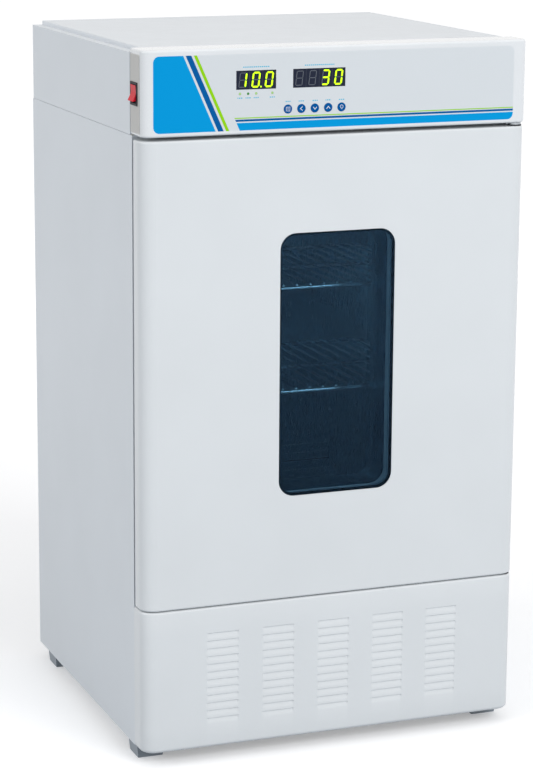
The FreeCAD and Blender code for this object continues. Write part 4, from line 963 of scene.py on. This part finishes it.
@dataclass
class StatusLamps:
    """The four small domed lamps under the first display.

    Attributes:
        node: The lamps' CAD node.
        places: Where they stand, in steps from the first one.
        lit: The place of the one that is lit.
        dome: How far a dome stands in front of the CAD lamp.
        radius: A lamp's radius.
        rings: How many rings make the dome.
        sides: How many sides a lamp has.
    """

    node: str = "indicator_leds"
    places: tuple[int, ...] = LAMP_PLACES
    lit: int = 1
    dome: float = 0.5 * MM
    radius: float = 1.5 * MM
    rings: int = 7
    sides: int = 28

    def build(self) -> None:
        """Builds the four lamps as one piece that replaces the CAD ones."""
        low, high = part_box(self.node)
        level = (low[2] + high[2]) / 2
        step = (high[0] - low[0] - 2 * self.radius) / self.places[-1]
        bend = [math.pi / 2 * ring / self.rings for ring in range(self.rings)]
        profile = [(self.radius * math.cos(turn), low[1] - self.dome * math.sin(turn))
                   for turn in bend]
        mesh = PieceMesh("status_lamps")
        for place in self.places:
            middle = low[0] + self.radius + step * place
            mesh.turned((middle, level), [(self.radius, high[1])] + profile, self.sides,
                        1 if place == self.lit else 0)
        piece = mesh.make("cabinet", (LAMP_PALE, LAMP_GREEN), smooth=True)
        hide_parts(self.node)


@dataclass
class DoorSeal:
    """The door's magnetic seal: a flat foot, a folded bellows and a magnet's tube.

    Attributes:
        node: The seal's CAD node.
        width: How wide it is.
        corner: The radius of its outer corners.
        least_corner: The least radius of its inner corners.
        corner_steps: How many points a corner has.
        section: Its section, as shares of its width from outside and of its depth from the door.
    """

    node: str = "door_gasket"
    width: float = 18.0 * MM
    corner: float = 12.0 * MM
    least_corner: float = 1.0 * MM
    corner_steps: int = 8
    section: tuple[Flat, ...] = (
        (0.00, 0.00), (0.00, 0.18), (0.16, 0.22), (0.24, 0.42), (0.14, 0.58), (0.06, 0.72),
        (0.06, 0.94), (0.10, 1.00), (0.90, 1.00), (0.94, 0.94), (0.94, 0.72), (0.86, 0.58),
        (0.76, 0.42), (0.84, 0.22), (1.00, 0.18), (1.00, 0.00))

    def loop(self, inset: float, y: float) -> list[Point]:
        """Gives a rounded rectangle inside the seal's outline.

        Args:
            inset: How far it lies inside the outline.
            y: Its place along Y.

        Returns:
            Its points, once round.
        """
        low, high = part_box(self.node)
        radius = max(self.corner - inset, self.least_corner)
        points = []
        for quarter, (along, up) in enumerate(((1, 1), (-1, 1), (-1, -1), (1, -1))):
            x = (high[0] - inset - radius) if along > 0 else (low[0] + inset + radius)
            z = (high[2] - inset - radius) if up > 0 else (low[2] + inset + radius)
            for step in range(self.corner_steps + 1):
                turn = math.pi / 2 * (quarter + step / self.corner_steps)
                points.append((x + radius * math.cos(turn), y, z + radius * math.sin(turn)))
        return points

    def build(self) -> None:
        """Sweeps the section round the door and replaces the CAD seal."""
        low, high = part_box(self.node)
        depth = high[1] - low[1]
        mesh = PieceMesh("door_seal")
        mesh.skin([self.loop(self.width * across, low[1] + depth * deep)
                   for across, deep in self.section], closed=True)
        piece = mesh.make("door", (GASKET_VINYL,))
        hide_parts(self.node)


@dataclass
class RearScrews:
    """Pan-head screws with a cross recess that hold the rear panel.

    Attributes:
        node: The screws' CAD node.
        arm: Half the width of the recess's arms.
        reach: How far an arm goes from the middle.
        recess: How deep it is.
        fall: How far a head falls towards its edge, as a share of its height.
        roundness: The power by which it falls; higher is flatter in the middle.
        rings: How many rings a head has.
        sides: How many sides a head has.
        merge: How close two points of the CAD mesh are that count as one.
    """

    node: str = "rear_screws"
    arm: float = 0.55 * MM
    reach: float = 1.9 * MM
    recess: float = 0.9 * MM
    fall: float = 0.75
    roundness: int = 4
    rings: int = 12
    sides: int = 40
    merge: float = 0.01 * MM

    def heads(self) -> list[Point]:
        """Finds the middle and radius of each CAD head.

        Returns:
            For each head its x, its z and its radius.
        """
        form = bmesh.new()
        form.from_mesh(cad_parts[self.node].data)
        bmesh.ops.remove_doubles(form, verts=form.verts, dist=self.merge)
        left = set(form.verts)
        found = []
        while left:
            edge_of = [left.pop()]
            island = list(edge_of)
            while edge_of:
                here = edge_of.pop()
                for edge in here.link_edges:
                    other = edge.other_vert(here)
                    if other in left:
                        left.remove(other)
                        edge_of.append(other)
                        island.append(other)
            xs = [point.co.x for point in island]
            zs = [point.co.z for point in island]
            found.append(((min(xs) + max(xs)) / 2, (min(zs) + max(zs)) / 2,
                          (max(xs) - min(xs)) / 2))
        form.free()
        return sorted(found)

    def depth(self, across: float, up: float) -> float:
        """Gives how deep the cross recess is at a place on the head."""
        thin, long = sorted((abs(across), abs(up)))
        return self.recess if thin < self.arm and long < self.reach else 0.0

    def build(self) -> None:
        """Builds every head in one piece that replaces the CAD ones."""
        low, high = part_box(self.node)
        height = high[1] - low[1]
        mesh = PieceMesh("rear_screw_heads")
        for middle_x, middle_z, radius in self.heads():
            start = len(mesh.points)
            mesh.points.append((middle_x, high[1] - self.recess, middle_z))
            for ring in range(1, self.rings + 1):
                share = ring / self.rings
                dome = height * self.fall * share ** self.roundness
                mesh.points += [(middle_x + x, high[1] - max(dome, self.depth(x, z)), middle_z + z)
                                for x, z in circle(radius * share, self.sides)]
            mesh.points += [(middle_x + x, low[1], middle_z + z)
                            for x, z in circle(radius, self.sides)]
            for side in range(self.sides):
                after = (side + 1) % self.sides
                mesh.face((start, start + 1 + side, start + 1 + after), 0)
                for ring in range(self.rings):
                    here = start + 1 + ring * self.sides
                    mesh.face((here + side, here + self.sides + side, here + self.sides + after,
                               here + after), 0)
            last = start + 1 + self.rings * self.sides
            mesh.face(range(last, last + self.sides), 0)
        piece = mesh.make("cabinet", (SCREW_STEEL,), smooth=True)
        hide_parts(self.node)


@dataclass
class LouvredPanel:
    """The painted panel under the door, with its pressed louvres and rounded edges.

    Attributes:
        node: The panel's CAD node.
        hood_lift: How far the CAD hoods stand in front of the panel.
        corner: The radius of its upright corners.
        corner_steps: How many points such a corner has.
        top_edge: The radius of its upper edge.
        bottom_edge: The radius of its lower edge.
        edge_steps: How many rows round an edge has.
        flange: How far its upper and lower flanges reach in.
        sheet: The sheet's thickness.
        columns: How many columns of louvres it has.
        column_pitch: Their pitch.
        rows: How many louvres a column has.
        row_pitch: Their pitch.
        first_line: The level of the upper louvres' top line.
        width: A louvre's width.
        height: A louvre's height.
        press: How deep a louvre is pressed at its top line.
        curve: How hollow it is; 1 is a straight slope.
        ends: Across a louvre's end, the distance from it and the share of the depth.
        fall: Down a louvre, the distance from its top line as a share of its height.
    """

    node: str = "kick_panel"
    hood_lift: float = 2.4 * MM
    corner: float = 18.0 * MM
    corner_steps: int = 12
    top_edge: float = 2.5 * MM
    bottom_edge: float = 5.0 * MM
    edge_steps: int = 5
    flange: float = 14.0 * MM
    sheet: float = 1.0 * MM
    columns: int = 5
    column_pitch: float = 73.6 * MM
    rows: int = 12
    row_pitch: float = 10.0 * MM
    first_line: float = 165.5 * MM
    width: float = 42.0 * MM
    height: float = 7.6 * MM
    press: float = 1.9 * MM
    curve: float = 1.4
    ends: tuple[Flat, ...] = (
        (-0.6 * MM, 0.0), (0.0, 0.0), (0.5 * MM, 0.4), (1.2 * MM, 0.8), (2.4 * MM, 1.0),
        (12.0 * MM, 1.0))
    fall: tuple[float, ...] = (1.0, 0.82, 0.64, 0.48, 0.33, 0.2, 0.1, 0.02)

    def plan(self) -> list[tuple[Vector, Vector, float]]:
        """Walks round the panel in plan, from its left rear edge to its right one.

        Returns:
            For each place its point, its outward direction and the share of a louvre's depth.
        """
        low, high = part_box(self.node)
        front = low[1] + self.hood_lift
        across = high[0] - self.corner
        steps = [math.pi / 2 * step / self.corner_steps for step in range(self.corner_steps + 1)]
        left = [(Vector((low[0], high[1])), Vector((-1.0, 0.0)), 0.0)]
        for turn in steps:
            out = Vector((-math.cos(turn), -math.sin(turn)))
            left.append((Vector((-across, front + self.corner)) + out * self.corner, out, 0.0))
        right = [(Vector((-point.x, point.y)), Vector((-out.x, out.y)), share)
                 for point, out, share in reversed(left)]
        louvres = []
        for column in range(self.columns):
            middle = self.column_pitch * (column - (self.columns - 1) / 2)
            begin = [(middle - self.width / 2 + inset, share) for inset, share in self.ends]
            finish = [(2 * middle - x, share) for x, share in reversed(begin)]
            louvres += [(Vector((x, front)), Vector((0.0, -1.0)), share)
                        for x, share in begin + finish]
        return left + louvres + right

    def levels(self) -> list[Point]:
        """Climbs the panel from its lower flange to its upper one.

        Returns:
            For each row its inset, its level and its depth where a louvre is.
        """
        low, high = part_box(self.node)
        turns = [math.pi / 2 * step / self.edge_steps for step in range(self.edge_steps + 1)]
        rows = [(self.flange, low[2], 0.0)]
        rows += [(self.bottom_edge * (1 - math.sin(turn)),
                  low[2] + self.bottom_edge * (1 - math.cos(turn)), 0.0) for turn in turns]
        for row in reversed(range(self.rows)):
            line = self.first_line - self.row_pitch * row
            rows += [(0.0, line - self.height * share, self.press * (1 - share) ** self.curve)
                     for share in self.fall]
            rows.append((0.0, line, 0.0))
        rows += [(self.top_edge * (1 - math.cos(turn)),
                  high[2] - self.top_edge * (1 - math.sin(turn)), 0.0) for turn in turns]
        return rows + [(self.flange, high[2], 0.0)]

    def build(self) -> None:
        """Builds the panel's skin, thickens it and replaces the CAD panel."""
        mesh = PieceMesh("louvred_kick_panel")
        plan = self.plan()
        levels = self.levels()
        for inset, level, depth in levels:
            for point, out, share in plan:
                place = point - out * (inset + depth * share)
                mesh.points.append((place.x, place.y, level))
        across = len(plan)
        for row in range(len(levels) - 1):
            for step in range(across - 1):
                here = row * across + step
                mesh.face((here, here + 1, here + across + 1, here + across), 0)
        piece = mesh.make("cabinet", (PAINT,), smooth=True)
        thick = piece.modifiers.new("sheet", "SOLIDIFY")
        thick.thickness = self.sheet
        thick.offset = -1.0
        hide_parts(self.node)


@dataclass
class HeaderFlange:
    """The folded flange that closes the header's back above the case.

    Attributes:
        node: The header's CAD node.
        inset: How far the flange stays inside the header's outline.
        chamfer: How much its upper corners are cut.
        depth: How far it reaches down.
        setback: How far it lies in front of the header's rear edge.
        sheet: The sheet's thickness.
    """

    node: str = "header_panel"
    inset: float = 0.6 * MM
    chamfer: float = 2.0 * MM
    depth: float = 16.0 * MM
    setback: float = 0.6 * MM
    sheet: float = 1.2 * MM

    def build(self) -> None:
        """Builds the flange just inside the header's rear edge."""
        low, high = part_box(self.node)
        side, top = high[0] - self.inset, high[2] - self.inset
        bottom = top - self.depth
        outline = [(-side, bottom), (side, bottom), (side, top - self.chamfer),
                   (side - self.chamfer, top), (self.chamfer - side, top),
                   (-side, top - self.chamfer)]
        rear = high[1] - self.setback
        mesh = PieceMesh("header_rear_flange")
        mesh.plate(outline, rear - self.sheet, rear)
        mesh.make("cabinet", (HEADER_PLASTIC,))


@dataclass(frozen=True)
class SoftLamp:
    """A soft square lamp.

    Attributes:
        name: Its name.
        place: Where it hangs.
        aim: The point that it faces.
        width: Its side length.
        power: Its power in watts.
        mirrored: Whether glossy surfaces mirror it.
    """

    name: str
    place: Point
    aim: Point
    width: float
    power: float
    mirrored: bool = True

    def build(self) -> None:
        """Adds the lamp to the scene."""
        data = bpy.data.lights.new(self.name, "AREA")
        data.size = self.width
        data.energy = self.power
        lamp = bpy.data.objects.new(self.name, data)
        lamp.visible_glossy = self.mirrored
        bpy.context.scene.collection.objects.link(lamp)
        lamp.location = self.place
        towards = Vector(self.aim) - Vector(self.place)
        lamp.rotation_euler = towards.to_track_quat("-Z", "Y").to_euler()


@dataclass
class Studio:
    """The camera of the photograph, a pale floor and soft lamps.

    Attributes:
        eye: Where the camera stands.
        yaw: Its turn from +Y towards +X, in degrees.
        pitch: Its tilt below the horizon, in degrees.
        roll: Its turn about its own axis, in degrees.
        lens: The focal length for the sensor's width.
        sensor: The sensor's width, in millimetres like the lens.
        shift: The sensor's shift, as a share of the image's long side.
        clip: The nearest and the farthest distance that the camera shows.
        floor_size: The floor's side length.
        floor_tones: The two tones that the floor shows.
        floor_shade: The colour that it throws on the object.
        floor_roughness: Its roughness.
        floor_cloud: The scale of its tones.
        floor_glow: Two distances from the middle, and the floor's glow at each.
        sky: The colour of the even light.
        sky_strength: Its strength.
        lamps: The lamps.
    """

    eye: Point = (-1.1561, -2.9765, 1.1456)
    yaw: float = 20.13
    pitch: float = 12.35
    roll: float = 0.16
    lens: float = 115.92
    sensor: float = 36.0
    shift: Flat = (0.0574, -0.0329)
    clip: Flat = (0.05, 60.0)
    floor_size: float = 30.0
    floor_tones: tuple[Colour, Colour] = ((0.92, 0.92, 0.93), (0.95, 0.95, 0.95))
    floor_shade: Colour = (0.24, 0.29, 0.34)
    floor_roughness: float = 0.9
    floor_cloud: float = 3.0
    floor_glow: tuple[float, float, float, float] = (0.5, 2.6, 0.26, 0.47)
    sky: Colour = (0.985, 0.992, 1.0)
    sky_strength: float = 0.58
    lamps: tuple[SoftLamp, ...] = (
        SoftLamp("key_light", (1.2, -4.2, 2.6), (0.0, 0.0, 0.55), 2.6, 121.0, mirrored=False),
        SoftLamp("left_light", (-4.0, -0.6, 2.4), (0.0, 0.0, 0.8), 2.4, 46.0))

    def camera(self) -> None:
        """Adds the camera and makes it the scene's own."""
        data = bpy.data.cameras.new("photo_camera")
        data.lens = self.lens
        data.sensor_width = self.sensor
        data.shift_x, data.shift_y = self.shift
        data.clip_start, data.clip_end = self.clip
        camera = bpy.data.objects.new("photo_camera", data)
        bpy.context.scene.collection.objects.link(camera)
        turn = (Matrix.Rotation(math.radians(-self.yaw), 4, "Z")
                @ Matrix.Rotation(math.pi / 2 - math.radians(self.pitch), 4, "X")
                @ Matrix.Rotation(math.radians(self.roll), 4, "Z"))
        camera.matrix_world = Matrix.Translation(self.eye) @ turn
        bpy.context.scene.camera = camera

    def seen(self, nodes: NodeTree) -> bpy.types.NodeSocket:
        """Gives 1 for what the eye sees, straight, mirrored or through glass, and 0 for light."""
        rays = nodes.add("ShaderNodeLightPath")
        return nodes.math("MAXIMUM", rays.outputs["Is Camera Ray"],
                          nodes.math("MAXIMUM", rays.outputs["Is Glossy Ray"],
                                     rays.outputs["Is Transmission Ray"]))

    def floor(self) -> None:
        """Adds the pale floor, which keeps the object's shadow."""
        bpy.ops.mesh.primitive_plane_add(size=self.floor_size, location=(0.0, 0.0, 0.0))
        floor = bpy.context.object
        floor.name = "studio_floor"
        made = bpy.data.materials.new("studio_floor")
        made.use_nodes = True
        nodes = NodeTree(made.node_tree)
        shader = made.node_tree.nodes["Principled BSDF"]
        seen = self.seen(nodes)
        cloud = nodes.add("ShaderNodeTexNoise")
        cloud.inputs["Scale"].default_value = self.floor_cloud
        pale = nodes.mix(cloud.outputs["Fac"], *self.floor_tones)
        nodes.wire(nodes.mix(seen, self.floor_shade, pale), shader.inputs["Base Color"])
        shader.inputs["Roughness"].default_value = self.floor_roughness
        glow = nodes.add("ShaderNodeEmission")
        away = nodes.add("ShaderNodeVectorMath", operation="LENGTH")
        nodes.wire(nodes.add("ShaderNodeTexCoord").outputs["Object"], away.inputs[0])
        fill = nodes.spread(away.outputs["Value"], *self.floor_glow)
        nodes.wire(nodes.math("MULTIPLY", seen, fill), glow.inputs["Strength"])
        total = nodes.add("ShaderNodeAddShader")
        nodes.wire(shader.outputs[0], total.inputs[0])
        nodes.wire(glow.outputs[0], total.inputs[1])
        nodes.wire(total.outputs[0], made.node_tree.nodes["Material Output"].inputs["Surface"])
        floor.data.materials.append(made)

    def world(self) -> None:
        """Lights the scene evenly and shows white behind the object."""
        world = bpy.data.worlds.new("studio_world")
        bpy.context.scene.world = world
        world.use_nodes = True
        nodes = NodeTree(world.node_tree)
        back = world.node_tree.nodes["Background"]
        back.inputs["Color"].default_value = (*self.sky, 1.0)
        back.inputs["Strength"].default_value = self.sky_strength
        bright = nodes.add("ShaderNodeBackground")
        bright.inputs["Color"].default_value = (1.0, 1.0, 1.0, 1.0)
        both = nodes.add("ShaderNodeMixShader")
        nodes.wire(self.seen(nodes), both.inputs[0])
        nodes.wire(back.outputs[0], both.inputs[1])
        nodes.wire(bright.outputs[0], both.inputs[2])
        nodes.wire(both.outputs[0], world.node_tree.nodes["World Output"].inputs["Surface"])

    def build(self) -> None:
        """Sets the whole studio up."""
        bpy.context.scene.view_settings.view_transform = "Standard"
        self.camera()
        self.floor()
        self.world()
        for lamp in self.lamps:
            lamp.build()


def dress_nodes() -> None:
    """Gives every CAD node the material of its finish."""
    for finish, names in NODE_FINISHES.items():
        for name in names:
            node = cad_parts[name]
            node.data.materials.clear()
            node.data.materials.append(finish.material())


def main() -> None:
    """Builds the studio, dresses the nodes and adds the pieces."""
    logging.basicConfig(level=logging.INFO)
    Studio().build()
    dress_nodes()
    DigitDisplay("display_temperature", "100", point_after=1).build()
    DigitDisplay("display_timer", "  30").build()
    KeySigns().build()
    StatusLamps().build()
    DoorSeal().build()
    RearScrews().build()
    LouvredPanel().build()
    HeaderFlange().build()


if __name__ == "__main__":
    main()
